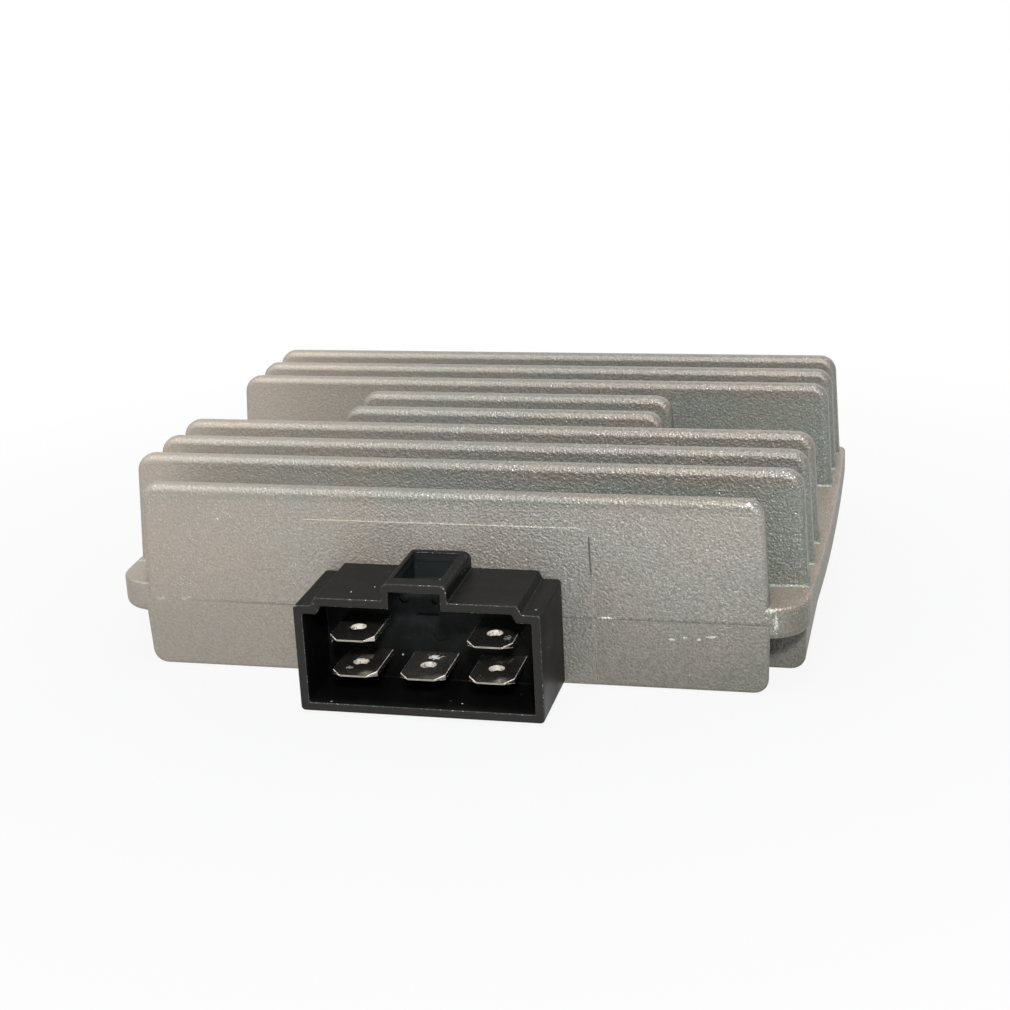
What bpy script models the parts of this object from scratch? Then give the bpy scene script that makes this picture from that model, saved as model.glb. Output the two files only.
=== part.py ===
# Motorcycle voltage regulator: a finned die-cast housing, a moulded connector with five
# blades in its front wall, and the rectifier board potted into its underside.
# Metres, +Z up. The fins run along X and the connector faces -Y. The origin is the
# middle of the footprint, on the face that is bolted to the vehicle.

import math

import bmesh
import bpy
from mathutils import Matrix, Vector

MM = 0.001
CLEAR = 0.3 * MM                 # gap between pieces that touch, seat or are bonded
NUDGE = 0.01 * MM                # keeps two faces that are joined or cut out of one plane
OVERRUN = 5.0 * MM               # how far a cutter runs past what it cuts
ALIGNED = 0.9                    # cosine above which two directions count as the same
SHARP_ANGLE = math.radians(35)   # edges bent more than this are shaded sharp
ARC_STEPS = 6                    # in a large rounded corner; small ones take half as many

# Cooling fins, counted from the connector's side
FIN_COUNT = 9
FIN_PITCH = 8.9 * MM
FIN_ROOT = 4.0 * MM              # thickness at the base
FIN_TIP = 2.8 * MM               # thickness under the ridge
FIN_TOP = 28.5 * MM
FIN_LENGTH = 99.0 * MM
FIN_END_LEAN = 0.8 * MM
FIN_CORNER = 2.4 * MM
RIDGE_RADIUS = 1.1 * MM
RIDGE_FLAT = 0.1 * MM            # least flat left on each side of a ridge's middle
SHORT_FINS = (5, 6)              # these stop short of the bolt heads
SHORT_LENGTH = 52.0 * MM
FIN_SINK = 1.0 * MM              # how far a fin is carried down into the base
FOOT_FILLET = 0.5 * MM           # round the foot of each fin
FOOT_STEPS = 3

# Front plate: the first fin, which is also the front wall
FRONT_TOP = 27.4 * MM
FRONT_LENGTH = 90.4 * MM
FRONT_TAPER = 1.0 * MM           # each side draws in by this much behind the plate
FRONT_LEAN = 0.45 * MM
FRONT_CORNER = 2.2 * MM
PARTING_HEIGHT = 10.3 * MM       # where the two halves of the die met
PARTING_STEP = 0.12 * MM

# Base: a flange all round, over a case with slightly drafted walls
BASE_TOP = 12.5 * MM
FLANGE_THICKNESS = 4.6 * MM
FLANGE_WIDTH = 101.8 * MM
FLANGE_DRAW_FRONT = 1.1 * MM     # the sides bulge: they draw in by this much to the front
FLANGE_DRAW_REAR = 0.6 * MM      # and by this much to the rear
BOW_STEPS = 8
FLANGE_SETBACK = 0.3 * MM        # behind the front plate's face
FLANGE_FRONT_CORNER = 5.2 * MM
FLANGE_REAR_CORNER = 1.8 * MM
FLANGE_TOP_EDGE = 0.5 * MM
FLANGE_LOWER_EDGE = 1.0 * MM
REAR_LEDGE = 0.9 * MM            # flange past the last fin
CASE_WIDTH = 98.8 * MM
CASE_DRAFT = 0.3 * MM
CASE_CORNER = 2.0 * MM           # along the bottom of the sides
CASE_EDGE = 0.5 * MM

# Potting cavity in the underside, and the bolt bosses that stand in it
WALL = 3.0 * MM
ROOF = 3.0 * MM
CAVITY_CORNER = 1.5 * MM
BOLT_SPACING = 80.0 * MM
BOLT_HOLE = 6.5 * MM             # clears an M6 bolt
BOSS_RADIUS = 7.5 * MM
BOSS_WEB = 1.8 * MM              # from a boss to the circuit board

# Raised pad behind the connector
PAD_WIDTH = 43.0 * MM
PAD_TAPER = 0.7 * MM
PAD_TOP = 23.2 * MM
PAD_BOTTOM = 0.4 * MM
PAD_RAISE = 0.35 * MM
PAD_CORNER = 1.5 * MM
PAD_EDGE = 0.2 * MM

# Connector shell; heights are above the resting face
SHELL_OFFSET = -0.1 * MM         # it sits slightly left of the middle
SHELL_REACH = 13.9 * MM          # from the housing's face to the rim
SHELL_WIDTH = 34.0 * MM
SHELL_BOTTOM = 0.5 * MM
SHOULDER_TOP = 15.9 * MM
STEP_WIDTH = 29.0 * MM           # the higher middle, at its foot
STEP_SLOPE = 0.6 * MM
SHELL_TOP = 17.1 * MM
LATCH_WIDTH = 8.9 * MM
LATCH_TOP = 19.5 * MM
SHELL_SIDE = 1.3 * MM            # wall thickness at the sides
SHELL_WALL = 1.25 * MM           # and above and below
LATCH_WALL = 1.0 * MM
SHELL_EDGE = 0.6 * MM
SOCKET_BACK = 4.4 * MM           # back of the socket, in front of the housing's face
LATCH_BACK = 1.3 * MM
WINDOW_WIDTH = 6.2 * MM
WINDOW_FRONT = 2.4 * MM          # behind the rim
WINDOW_BACK = 1.5 * MM           # in front of the housing's face
SPIGOT_WIDTH = 26.0 * MM         # passes through the front wall
SPIGOT_BOTTOM = 1.3 * MM
SPIGOT_TOP = 8.9 * MM
COLLAR_WIDTH = 30.0 * MM         # holds it from inside
COLLAR_THICKNESS = 1.2 * MM

# Blade terminals
BLADE_WIDTH = 6.3 * MM
BLADE_THICKNESS = 0.8 * MM
BLADE_PITCH = 9.55 * MM
BLADE_RECESS = 0.8 * MM          # tip behind the rim
BLADE_NOSE = 1.2 * MM            # corner cut off at the tip
BLADE_HOLE = 2.1 * MM
BLADE_HOLE_BACK = 4.1 * MM       # hole's centre behind the tip
BLADE_SEAT = 1.0 * MM            # full width held in the shell's back wall
BLADE_EDGE = 0.2 * MM            # broken edge round the nose
LOWER_ROW = 5.6 * MM
UPPER_ROW = 10.75 * MM
TAIL_WIDTH = 2.6 * MM
TAIL_SHIFT = 1.8 * MM            # lower tails pass on one side, upper on the other
DROP_DEPTH = 2.2 * MM            # upper tails turn down this far in front of the face
BEND_RADIUS = 0.6 * MM
FOOT_LAP = 2.4 * MM              # soldered foot under the board's edge

# Circuit stack, hung from the cavity's roof
SHEET_THICKNESS = 0.4 * MM
SHEET_MARGIN = 0.5 * MM
BOARD_THICKNESS = 1.2 * MM
BOARD_SETBACK = 4.5 * MM         # behind the shell's collar
BOARD_MARGIN = 2.0 * MM          # short of the rear wall
BOARD_CORNER = 1.0 * MM
BOARD_ROWS = 4
DEVICE_PITCH = 18.0 * MM
CONTROL_PITCH = 5.5 * MM
RESIN_FACE = 0.7 * MM            # poured to just below the rim

# Component packages: width, depth and height of the moulded body
THYRISTOR = (10.2 * MM, 8.6 * MM, 4.2 * MM)
DIODE = (6.6 * MM, 6.1 * MM, 2.4 * MM)
CHIP = (4.9 * MM, 3.9 * MM, 1.5 * MM)
ZENER = (2.6 * MM, 4.3 * MM, 2.1 * MM)
CAPACITOR = (7.3 * MM, 4.3 * MM, 2.9 * MM)
RESISTOR = (1.6 * MM, 3.2 * MM, 0.6 * MM)
PACKAGE_DRAFT = 0.1 * MM
PACKAGE_LAP = 0.8 * MM           # tab and leads let into the body
CAP_LAP = 0.5 * MM               # solder end along the body of a small part
CAP_PROUD = 0.1 * MM
CAP_INSET = 0.15 * MM
TAB_INSET = 0.4 * MM
TAB_THICKNESS = 1.1 * MM
TAB_REACH = 1.2 * MM
LEAD_PITCH = 4.6 * MM
LEAD_WIDTH = 0.9 * MM
LEAD_REACH = 1.9 * MM
LEAD_THICKNESS = 0.5 * MM
CHIP_LEADS = 4                   # on each side
CHIP_LEAD_WIDTH = 0.42 * MM
CHIP_LEAD_PITCH = 1.27 * MM
CHIP_LEAD_REACH = 1.0 * MM
CHIP_LEAD_THICKNESS = 0.25 * MM

# Where each terminal sits: slot across the connector, and row
TERMINALS = {"stator_terminal_a": (-1, LOWER_ROW),
             "stator_terminal_b": (0, LOWER_ROW),
             "stator_terminal_c": (1, LOWER_ROW),
             "battery_terminal": (-1, UPPER_ROW),
             "ground_terminal": (1, UPPER_ROW)}

# Where each component sits: its package, its slot or slots across the board, and its row,
# row 0 being next to the connector
DEVICE_SLOTS = {"a": -1, "b": 0, "c": 1}
POWER_DEVICES = {"thyristor": (THYRISTOR, 1), "rectifier_diode": (DIODE, 2)}
SMALL_PARTS = {"gate_resistor_a": (RESISTOR, -2, 0),
               "gate_resistor_b": (RESISTOR, -1, 0),
               "gate_resistor_c": (RESISTOR, 1, 0),
               "reference_zener": (ZENER, 2, 0),
               "filter_capacitor": (CAPACITOR, 0, 3)}

# Finishes: base colour, metallic and roughness
FINISHES = {"die_cast_aluminium": ((0.30, 0.29, 0.27), 0.9, 0.55),
            "moulded_plastic": ((0.012, 0.012, 0.013), 0.0, 0.45),
            "tin_plate": ((0.62, 0.61, 0.58), 1.0, 0.25),
            "solder_resist": ((0.75, 0.76, 0.74), 0.0, 0.4),
            "silicone": ((0.45, 0.50, 0.55), 0.0, 0.8),
            "package_epoxy": ((0.02, 0.02, 0.022), 0.0, 0.5),
            "glazed_ceramic": ((0.03, 0.03, 0.03), 0.0, 0.35),
            "tantalum_resin": ((0.62, 0.40, 0.08), 0.0, 0.45),
            "potting_epoxy": ((0.015, 0.015, 0.016), 0.0, 0.3)}

# Sizes that follow from the ones above
BODY_DEPTH = (FIN_COUNT - 1) * FIN_PITCH + FIN_ROOT + REAR_LEDGE
FACE_Y = (SHELL_REACH - BODY_DEPTH) / 2
CAVITY_TOP = BASE_TOP - ROOF
CASE_REAR = BODY_DEPTH - REAR_LEDGE
# the bolts lie midway between the short fins
BOLT_DEPTH = (sum(SHORT_FINS) / len(SHORT_FINS) - 1) * FIN_PITCH + FIN_ROOT / 2
SHEET_TOP = CAVITY_TOP - CLEAR
BOARD_TOP = SHEET_TOP - SHEET_THICKNESS - CLEAR
BOARD_BOTTOM = BOARD_TOP - BOARD_THICKNESS
MOUNT_PLANE = BOARD_BOTTOM - CLEAR           # components hang below this height
COLLAR_FRONT = FIN_ROOT + CLEAR
COLLAR_BACK = COLLAR_FRONT + COLLAR_THICKNESS
BOARD_FRONT = COLLAR_BACK + BOARD_SETBACK
BOARD_REAR = CASE_REAR - WALL - BOARD_MARGIN
BOARD_HALF = BOLT_SPACING / 2 - BOSS_RADIUS - BOSS_WEB
FOOT_HEIGHT = MOUNT_PLANE - BLADE_THICKNESS / 2
FOOT_END = BOARD_FRONT + FOOT_LAP

X, Y, Z = range(3)


def at(x, depth, z=0.0):
    # depth counts back from the front plate's face
    return Vector((x, FACE_Y + depth, z))


def block(low, high, bottom, top):
    # box whose footprint runs evenly from low to high, each (x0, x1, depth0, depth1)
    bm = bmesh.new()
    bmesh.ops.create_cube(bm, size=1.0)
    for vert in bm.verts:
        foot = high if vert.co.z > 0 else low
        side = foot[1] if vert.co.x > 0 else foot[0]
        depth = foot[3] if vert.co.y > 0 else foot[2]
        vert.co = at(side, depth, top if vert.co.z > 0 else bottom)
    return bm


def box(x0, x1, depth0, depth1, bottom, top):
    foot = (x0, x1, depth0, depth1)
    return block(foot, foot, bottom, top)


def rounded(corners, steps=ARC_STEPS):
    # outline through (x, y, radius) corners
    points = []
    for index, (x, y, radius) in enumerate(corners):
        here = Vector((x, y))
        if radius == 0:
            points.append(here)
            continue
        back = (Vector(corners[index - 1][:2]) - here).normalized()
        ahead = (Vector(corners[(index + 1) % len(corners)][:2]) - here).normalized()
        half = back.angle(ahead) / 2
        centre = here + (back + ahead).normalized() * radius / math.sin(half)
        start = here + back * radius / math.tan(half) - centre
        end = here + ahead * radius / math.tan(half) - centre
        first = math.atan2(start.y, start.x)
        turn = (math.atan2(end.y, end.x) - first + math.pi) % (2 * math.pi) - math.pi
        for step in range(steps + 1):
            angle = first + turn * step / steps
            points.append(centre + radius * Vector((math.cos(angle), math.sin(angle))))
    return points


def mirrored(half):
    # closes a half outline given on the +X side, from front to back
    return half + [(-x, y, r) for x, y, r in reversed(half)]


def plate(outline, low, high):
    # flat outline extruded between two heights, each end closed by one face
    curve = bpy.data.curves.new("outline", "CURVE")
    curve.dimensions = "2D"
    curve.fill_mode = "NONE"
    curve.extrude = (high - low) / 2
    spline = curve.splines.new("POLY")
    spline.points.add(len(outline) - 1)
    for point, spot in zip(spline.points, outline):
        point.co = (spot[0], spot[1], 0.0, 1.0)
    spline.use_cyclic_u = True
    guide = bpy.data.objects.new("outline", curve)
    bpy.context.scene.collection.objects.link(guide)
    depsgraph = bpy.context.evaluated_depsgraph_get()
    mesh = bpy.data.meshes.new_from_object(guide.evaluated_get(depsgraph))
    bm = bmesh.new()
    bm.from_mesh(mesh)
    bpy.data.objects.remove(guide)
    bpy.data.curves.remove(curve)
    bpy.data.meshes.remove(mesh)
    bmesh.ops.remove_doubles(bm, verts=bm.verts, dist=NUDGE / 10)
    bmesh.ops.holes_fill(bm, edges=[edge for edge in bm.edges if edge.is_boundary])
    bmesh.ops.translate(bm, verts=bm.verts, vec=(0, 0, (low + high) / 2))
    bmesh.ops.recalc_face_normals(bm, faces=bm.faces)
    return bm


def upright(bm):
    # stands a plate up: its outline's y becomes height, its thickness runs towards -Y
    bmesh.ops.transform(bm, verts=bm.verts, matrix=Matrix.Rotation(math.radians(90), 4, "X"))
    bmesh.ops.translate(bm, verts=bm.verts, vec=(0, FACE_Y, 0))
    return bm


def along(edge, axis):
    run = edge.verts[1].co - edge.verts[0].co
    return abs(run.normalized()[axis]) > ALIGNED


def height(edge):
    return (edge.verts[0].co.z + edge.verts[1].co.z) / 2


def round_edges(bm, edges, radius, segments):
    bmesh.ops.bevel(bm, geom=list(edges), offset=radius, segments=segments,
                    profile=0.5, affect="EDGES", clamp_overlap=True)


def rim(bm, axis, sign):
    # edges around the faces that look along sign * axis
    faces = [face for face in bm.faces if face.normal[axis] * sign > ALIGNED]
    return {edge for face in faces for edge in face.edges
            if any(other not in faces for other in edge.link_faces)}


def surface(owner, finish):
    colour, metallic, roughness = FINISHES[finish]
    material = bpy.data.materials.new("%s_%s" % (owner, finish))
    material.use_nodes = True
    shader = material.node_tree.nodes["Principled BSDF"]
    shader.inputs["Base Color"].default_value = (*colour, 1.0)
    shader.inputs["Metallic"].default_value = metallic
    shader.inputs["Roughness"].default_value = roughness
    material.diffuse_color = (*colour, 1.0)
    return material


def place(bm, name, group, finish=None):
    mesh = bpy.data.meshes.new(name)
    bm.to_mesh(mesh)
    bm.free()
    mesh.shade_smooth()
    mesh.set_sharp_from_angle(angle=SHARP_ANGLE)
    piece = bpy.data.objects.new(name, mesh)
    group.objects.link(piece)
    if finish:
        mesh.materials.append(surface(name, finish))
    return piece


def combine(piece, tool, operation):
    tool.hide_render = True
    tool.display_type = "WIRE"
    modifier = piece.modifiers.new(tool.name, "BOOLEAN")
    modifier.operation = operation
    modifier.solver = "EXACT"
    modifier.object = tool


def add(piece, bm, name):
    combine(piece, place(bm, name, tools), "UNION")


def cut(piece, bm, name):
    combine(piece, place(bm, name, tools), "DIFFERENCE")


def flange_half(share):
    # half width at this share of the way from front to rear, widest half way
    draw = FLANGE_DRAW_FRONT if share < 0.5 else FLANGE_DRAW_REAR
    return FLANGE_WIDTH / 2 - draw * (1 - 2 * share) ** 2


def flange():
    run = BODY_DEPTH - FLANGE_SETBACK
    bow = [(flange_half(share), FLANGE_SETBACK + run * share, 0)
           for share in (step / BOW_STEPS for step in range(1, BOW_STEPS))]
    side = [(flange_half(0), FLANGE_SETBACK, FLANGE_FRONT_CORNER),
            *bow,
            (flange_half(1), BODY_DEPTH, FLANGE_REAR_CORNER)]
    bm = plate(rounded(mirrored(side)), BASE_TOP - FLANGE_THICKNESS, BASE_TOP)
    round_edges(bm, rim(bm, Z, 1), FLANGE_TOP_EDGE, 2)
    round_edges(bm, rim(bm, Z, -1), FLANGE_LOWER_EDGE, 3)
    bmesh.ops.translate(bm, verts=bm.verts, vec=(0, FACE_Y, 0))
    return bm


def case(width, front, rear, taper=0.0):
    # lower wall section, leaning in towards the resting face
    half = width / 2
    bm = block((-half + CASE_DRAFT, half - CASE_DRAFT, front + CASE_DRAFT, rear - CASE_DRAFT),
               (-half, half, front, rear), 0.0, PARTING_HEIGHT)
    behind = [vert for vert in bm.verts if vert.co.y > FACE_Y + (front + rear) / 2]
    for vert in behind:
        vert.co.x -= math.copysign(taper, vert.co.x)
    low = [edge for edge in bm.edges if along(edge, Y) and height(edge) < PARTING_HEIGHT / 2]
    round_edges(bm, low, CASE_CORNER, 4)
    faces = rim(bm, Y, -1) | rim(bm, Y, 1)
    walls = [edge for edge in faces if height(edge) < PARTING_HEIGHT - NUDGE]
    round_edges(bm, walls, CASE_EDGE, 2)
    return bm


def fin_plate(low, high, bottom, top, corner):
    # tapered plate with rounded ends and ridge
    bm = block(low, high, bottom, top)
    ends = [edge for edge in bm.edges if along(edge, Y) and height(edge) > (bottom + top) / 2]
    round_edges(bm, ends, corner, 4)
    faces = rim(bm, Y, -1) | rim(bm, Y, 1)
    ridge = [edge for edge in faces if height(edge) > bottom + NUDGE]
    round_edges(bm, ridge, min(RIDGE_RADIUS, FIN_TIP / 2 - RIDGE_FLAT), 3)
    return bm


def foot(low, high, bottom, top, front=True, rear=True):
    # fillet round a fin's foot: a flare stepped along a quarter circle, ending inside the fin
    share = (BASE_TOP + FOOT_FILLET - bottom) / (top - bottom)
    x0, x1, depth0, depth1 = [a + (b - a) * share for a, b in zip(low, high)]
    middle = (depth0 + depth1) / 2
    reach = FOOT_FILLET - NUDGE
    bm = box(x0 - reach, x1 + reach, depth0 - reach if front else middle,
             depth1 + reach if rear else middle, BASE_TOP - FIN_SINK, BASE_TOP - NUDGE)
    angles = [math.pi / 2 * step / FOOT_STEPS for step in range(FOOT_STEPS + 1)]
    for here, ahead in zip(angles, angles[1:]):
        lid = max(bm.faces, key=lambda face: face.calc_center_median().z)
        bmesh.ops.inset_region(bm, faces=[lid], use_even_offset=True,
                               thickness=FOOT_FILLET * (math.sin(ahead) - math.sin(here)),
                               depth=FOOT_FILLET * (math.cos(here) - math.cos(ahead)))
    return bm


def fin(number):
    # footprint at the bottom and at the top, and the two heights
    middle = (number - 1) * FIN_PITCH + FIN_ROOT / 2
    half = (SHORT_LENGTH if number in SHORT_FINS else FIN_LENGTH) / 2
    low = (-half, half, middle - FIN_ROOT / 2, middle + FIN_ROOT / 2)
    tip = half - FIN_END_LEAN
    high = (-tip, tip, middle - FIN_TIP / 2, middle + FIN_TIP / 2)
    return low, high, BASE_TOP - FIN_SINK, FIN_TOP


def front_plate():
    half = FRONT_LENGTH / 2 - PARTING_STEP
    tip = half - FIN_END_LEAN
    low = (-half, half, PARTING_STEP, FIN_ROOT)
    high = (-tip, tip, FRONT_LEAN, FRONT_LEAN + FIN_TIP)
    return low, high, PARTING_HEIGHT - FIN_SINK, FRONT_TOP


def pad():
    half = PAD_WIDTH / 2
    low = (SHELL_OFFSET - half, SHELL_OFFSET + half, -PAD_RAISE, FIN_ROOT / 2)
    high = (low[0] + PAD_TAPER, low[1] - PAD_TAPER, FRONT_LEAN - PAD_RAISE, FIN_ROOT / 2)
    bm = block(low, high, PAD_BOTTOM, PAD_TOP)
    top = [edge for edge in bm.edges if along(edge, Y) and height(edge) > PAD_TOP / 2]
    round_edges(bm, top, PAD_CORNER, 4)
    round_edges(bm, rim(bm, Y, -1), PAD_EDGE, 1)
    return bm


def cavity_outline(gap):
    # inside of the walls, going round the two bolt bosses
    front = FRONT_LENGTH / 2 - FRONT_TAPER - WALL - gap
    side = CASE_WIDTH / 2 - WALL - gap
    boss = BOSS_RADIUS + gap
    bolt = BOLT_SPACING / 2
    arc = boss - NUDGE
    half = [(front, FIN_ROOT + gap, CAVITY_CORNER),
            (front, FIN_PITCH + WALL + gap, CAVITY_CORNER),
            (side, FIN_PITCH + WALL + gap, CAVITY_CORNER),
            (side, BOLT_DEPTH - boss, 0),
            (bolt - boss, BOLT_DEPTH - boss, arc),
            (bolt - boss, BOLT_DEPTH + boss, arc),
            (side, BOLT_DEPTH + boss, 0),
            (side, CASE_REAR - WALL - gap, CAVITY_CORNER)]
    return [(x, FACE_Y + y) for x, y in rounded(mirrored(half))]


def bolt_hole(side):
    bm = bmesh.new()
    bmesh.ops.create_cone(bm, cap_ends=True, segments=32, radius1=BOLT_HOLE / 2,
                          radius2=BOLT_HOLE / 2, depth=2 * (BASE_TOP + OVERRUN))
    bmesh.ops.translate(bm, verts=bm.verts, vec=at(side * BOLT_SPACING / 2, BOLT_DEPTH))
    return bm


def make_casting():
    casting = place(flange(), "heat_sink_casting", parts, "die_cast_aluminium")
    add(casting, case(CASE_WIDTH, FIN_PITCH, CASE_REAR), "main_case")
    add(casting, case(FRONT_LENGTH, 0.0, FIN_PITCH + WALL / 2, FRONT_TAPER), "front_case")
    add(casting, fin_plate(*front_plate(), FRONT_CORNER), "front_fin")
    add(casting, foot(*front_plate(), front=False), "front_fin_foot")
    for number in range(2, FIN_COUNT + 1):
        add(casting, fin_plate(*fin(number), FIN_CORNER), "fin_%d" % number)
        # behind the last fin the ledge is too narrow for a fillet
        add(casting, foot(*fin(number), rear=number < FIN_COUNT), "fin_%d_foot" % number)
    add(casting, pad(), "connector_pad")
    cut(casting, plate(cavity_outline(0.0), -OVERRUN, CAVITY_TOP), "potting_cavity")
    half = SPIGOT_WIDTH / 2 + CLEAR
    notch = box(SHELL_OFFSET - half, SHELL_OFFSET + half, -OVERRUN, FIN_ROOT + OVERRUN,
                -OVERRUN, SPIGOT_TOP + CLEAR)
    cut(casting, notch, "connector_notch")
    for side, name in ((-1, "left"), (1, "right")):
        cut(casting, bolt_hole(side), "bolt_hole_" + name)


def shell_outline(side_wall, wall, latch_wall):
    # the shell's end view, drawn in from its outside by the given walls
    half = SHELL_WIDTH / 2 - side_wall
    foot = STEP_WIDTH / 2 - side_wall
    latch = LATCH_WIDTH / 2 - latch_wall
    edge = SHELL_EDGE if wall == 0 else SHELL_EDGE / 2
    return [(half, SHELL_BOTTOM + wall, edge),
            (half, SHOULDER_TOP - wall, edge),
            (foot, SHOULDER_TOP - wall, 0),
            (foot - STEP_SLOPE, SHELL_TOP - wall, edge / 2),
            (latch, SHELL_TOP - wall, 0),
            (latch, LATCH_TOP - wall, edge)]


def shell_plate(side_wall, wall, latch_wall, back, front):
    outline = rounded(mirrored(shell_outline(side_wall, wall, latch_wall)), ARC_STEPS // 2)
    bm = upright(plate(outline, back, front))
    bmesh.ops.translate(bm, verts=bm.verts, vec=(SHELL_OFFSET, 0, 0))
    return bm


def strip(path, x, width, thickness):
    # flat strip bent along a path of (depth, height) points
    bm = bmesh.new()
    rows = [[bm.verts.new(at(x + side * width / 2, depth, z)) for side in (-1, 1)]
            for depth, z in path]
    for near, far in zip(rows, rows[1:]):
        bm.faces.new((near[0], near[1], far[1], far[0]))
    bends = [edge for edge in bm.edges if len(edge.link_faces) == 2]
    round_edges(bm, bends, BEND_RADIUS + thickness / 2, 3)
    guide = place(bm, "strip", tools)
    solid = guide.modifiers.new("thickness", "SOLIDIFY")
    solid.thickness = thickness
    solid.offset = 0.0
    solid.use_even_offset = True
    bpy.context.view_layer.update()
    mesh = bpy.data.meshes.new_from_object(guide.evaluated_get(bpy.context.evaluated_depsgraph_get()))
    out = bmesh.new()
    out.from_mesh(mesh)
    bpy.data.objects.remove(guide)
    bpy.data.meshes.remove(mesh)
    bmesh.ops.recalc_face_normals(out, faces=out.faces)
    return out


def tail_path(row):
    neck = -SOCKET_BACK + BLADE_SEAT
    if row == UPPER_ROW:
        bends = [(-DROP_DEPTH, row), (-DROP_DEPTH, FOOT_HEIGHT)]
    else:
        bends = [(COLLAR_BACK + 2 * BEND_RADIUS, row), (BOARD_FRONT - BEND_RADIUS, FOOT_HEIGHT)]
    return [(neck, row), *bends, (FOOT_END, FOOT_HEIGHT)]


def tail_place(slot, row):
    shift = TAIL_SHIFT if row == UPPER_ROW else -TAIL_SHIFT
    return SHELL_OFFSET + slot * BLADE_PITCH + shift


def blade(slot, row):
    # full-width blade with its nose corners cut off and the detent hole
    centre = SHELL_OFFSET + slot * BLADE_PITCH
    half = BLADE_WIDTH / 2
    tip = -SHELL_REACH + BLADE_RECESS
    neck = tail_path(row)[0][0] + CLEAR
    nose = BLADE_NOSE
    outline = [(-half + nose, tip), (half - nose, tip), (half, tip + nose), (half, neck),
               (-half, neck), (-half, tip + nose)]
    spots = [(centre + x, FACE_Y + y) for x, y in outline]
    bm = plate(spots, row - BLADE_THICKNESS / 2, row + BLADE_THICKNESS / 2)
    front = [edge for edge in rim(bm, Z, 1) | rim(bm, Z, -1)
             if max(vert.co.y for vert in edge.verts) < FACE_Y + tip + nose + NUDGE]
    round_edges(bm, front, BLADE_EDGE, 1)
    return bm


def blade_hole(slot, row):
    bm = bmesh.new()
    bmesh.ops.create_cone(bm, cap_ends=True, segments=20, radius1=BLADE_HOLE / 2,
                          radius2=BLADE_HOLE / 2, depth=BLADE_THICKNESS + OVERRUN)
    centre = at(SHELL_OFFSET + slot * BLADE_PITCH, -SHELL_REACH + BLADE_RECESS + BLADE_HOLE_BACK, row)
    bmesh.ops.translate(bm, verts=bm.verts, vec=centre)
    return bm


def make_terminals():
    for name, (slot, row) in TERMINALS.items():
        piece = place(blade(slot, row), name, parts, "tin_plate")
        tail = tail_path(row)
        tail[0] = (tail[0][0] - CLEAR, row)
        bent = strip(tail, tail_place(slot, row), TAIL_WIDTH, BLADE_THICKNESS - 2 * NUDGE)
        add(piece, bent, name + "_tail")
        cut(piece, blade_hole(slot, row), name + "_hole")


def make_shell():
    back = PAD_RAISE + CLEAR
    outside = shell_plate(0.0, 0.0, 0.0, back, SHELL_REACH)
    shell = place(outside, "connector_shell", parts, "moulded_plastic")
    half = SPIGOT_WIDTH / 2
    spigot = box(SHELL_OFFSET - half, SHELL_OFFSET + half, -back - SHELL_WALL, COLLAR_BACK,
                 SPIGOT_BOTTOM, SPIGOT_TOP)
    add(shell, spigot, "shell_spigot")
    half = COLLAR_WIDTH / 2
    collar = box(SHELL_OFFSET - half, SHELL_OFFSET + half, COLLAR_FRONT, COLLAR_BACK + NUDGE,
                 SPIGOT_BOTTOM - NUDGE, CAVITY_TOP - CLEAR)
    add(shell, collar, "shell_collar")
    socket = shell_plate(SHELL_SIDE, SHELL_WALL, LATCH_WALL, SOCKET_BACK, SHELL_REACH + OVERRUN)
    cut(shell, socket, "socket")
    half = LATCH_WIDTH / 2 - LATCH_WALL - NUDGE
    channel = box(SHELL_OFFSET - half, SHELL_OFFSET + half, -SHELL_REACH - OVERRUN, -LATCH_BACK,
                  SHELL_TOP - SHELL_WALL - NUDGE, LATCH_TOP - SHELL_WALL - NUDGE)
    cut(shell, channel, "latch_channel")
    half = WINDOW_WIDTH / 2
    window = box(SHELL_OFFSET - half, SHELL_OFFSET + half, -SHELL_REACH + WINDOW_FRONT,
                 -WINDOW_BACK, SHELL_TOP, LATCH_TOP + OVERRUN)
    cut(shell, window, "latch_window")
    for name, (slot, row) in TERMINALS.items():
        centre = SHELL_OFFSET + slot * BLADE_PITCH
        half = BLADE_WIDTH / 2 + CLEAR
        rise = BLADE_THICKNESS / 2 + CLEAR + NUDGE
        tail = tail_path(row)
        seat = box(centre - half, centre + half, -SOCKET_BACK - BLADE_SEAT,
                   tail[0][0] + 2 * CLEAR, row - rise, row + rise)
        cut(shell, seat, name + "_seat")
        passage = strip(tail, tail_place(slot, row), TAIL_WIDTH + 2 * CLEAR,
                        BLADE_THICKNESS + 2 * CLEAR)
        cut(shell, passage, name + "_passage")


def board_outline(grow):
    half = BOARD_HALF + grow
    corners = [(half, BOARD_FRONT - grow, BOARD_CORNER), (half, BOARD_REAR + grow, BOARD_CORNER)]
    return [(x, FACE_Y + y) for x, y in rounded(mirrored(corners))]


def row_depth(row):
    return BOARD_FRONT + (BOARD_REAR - BOARD_FRONT) * (row + 0.5) / BOARD_ROWS


def moulded(size):
    # moulded package body hanging from the board, its lower half drawn in
    width, depth, tall = size
    bm = bmesh.new()
    bmesh.ops.create_cube(bm, size=1.0)
    for vert in bm.verts:
        inset = PACKAGE_DRAFT if vert.co.z < 0 else 0.0
        vert.co.x = math.copysign(width / 2 - inset, vert.co.x)
        vert.co.y = math.copysign(depth / 2 - inset, vert.co.y)
        vert.co.z = 0.0 if vert.co.z > 0 else -tall
    return bm


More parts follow.
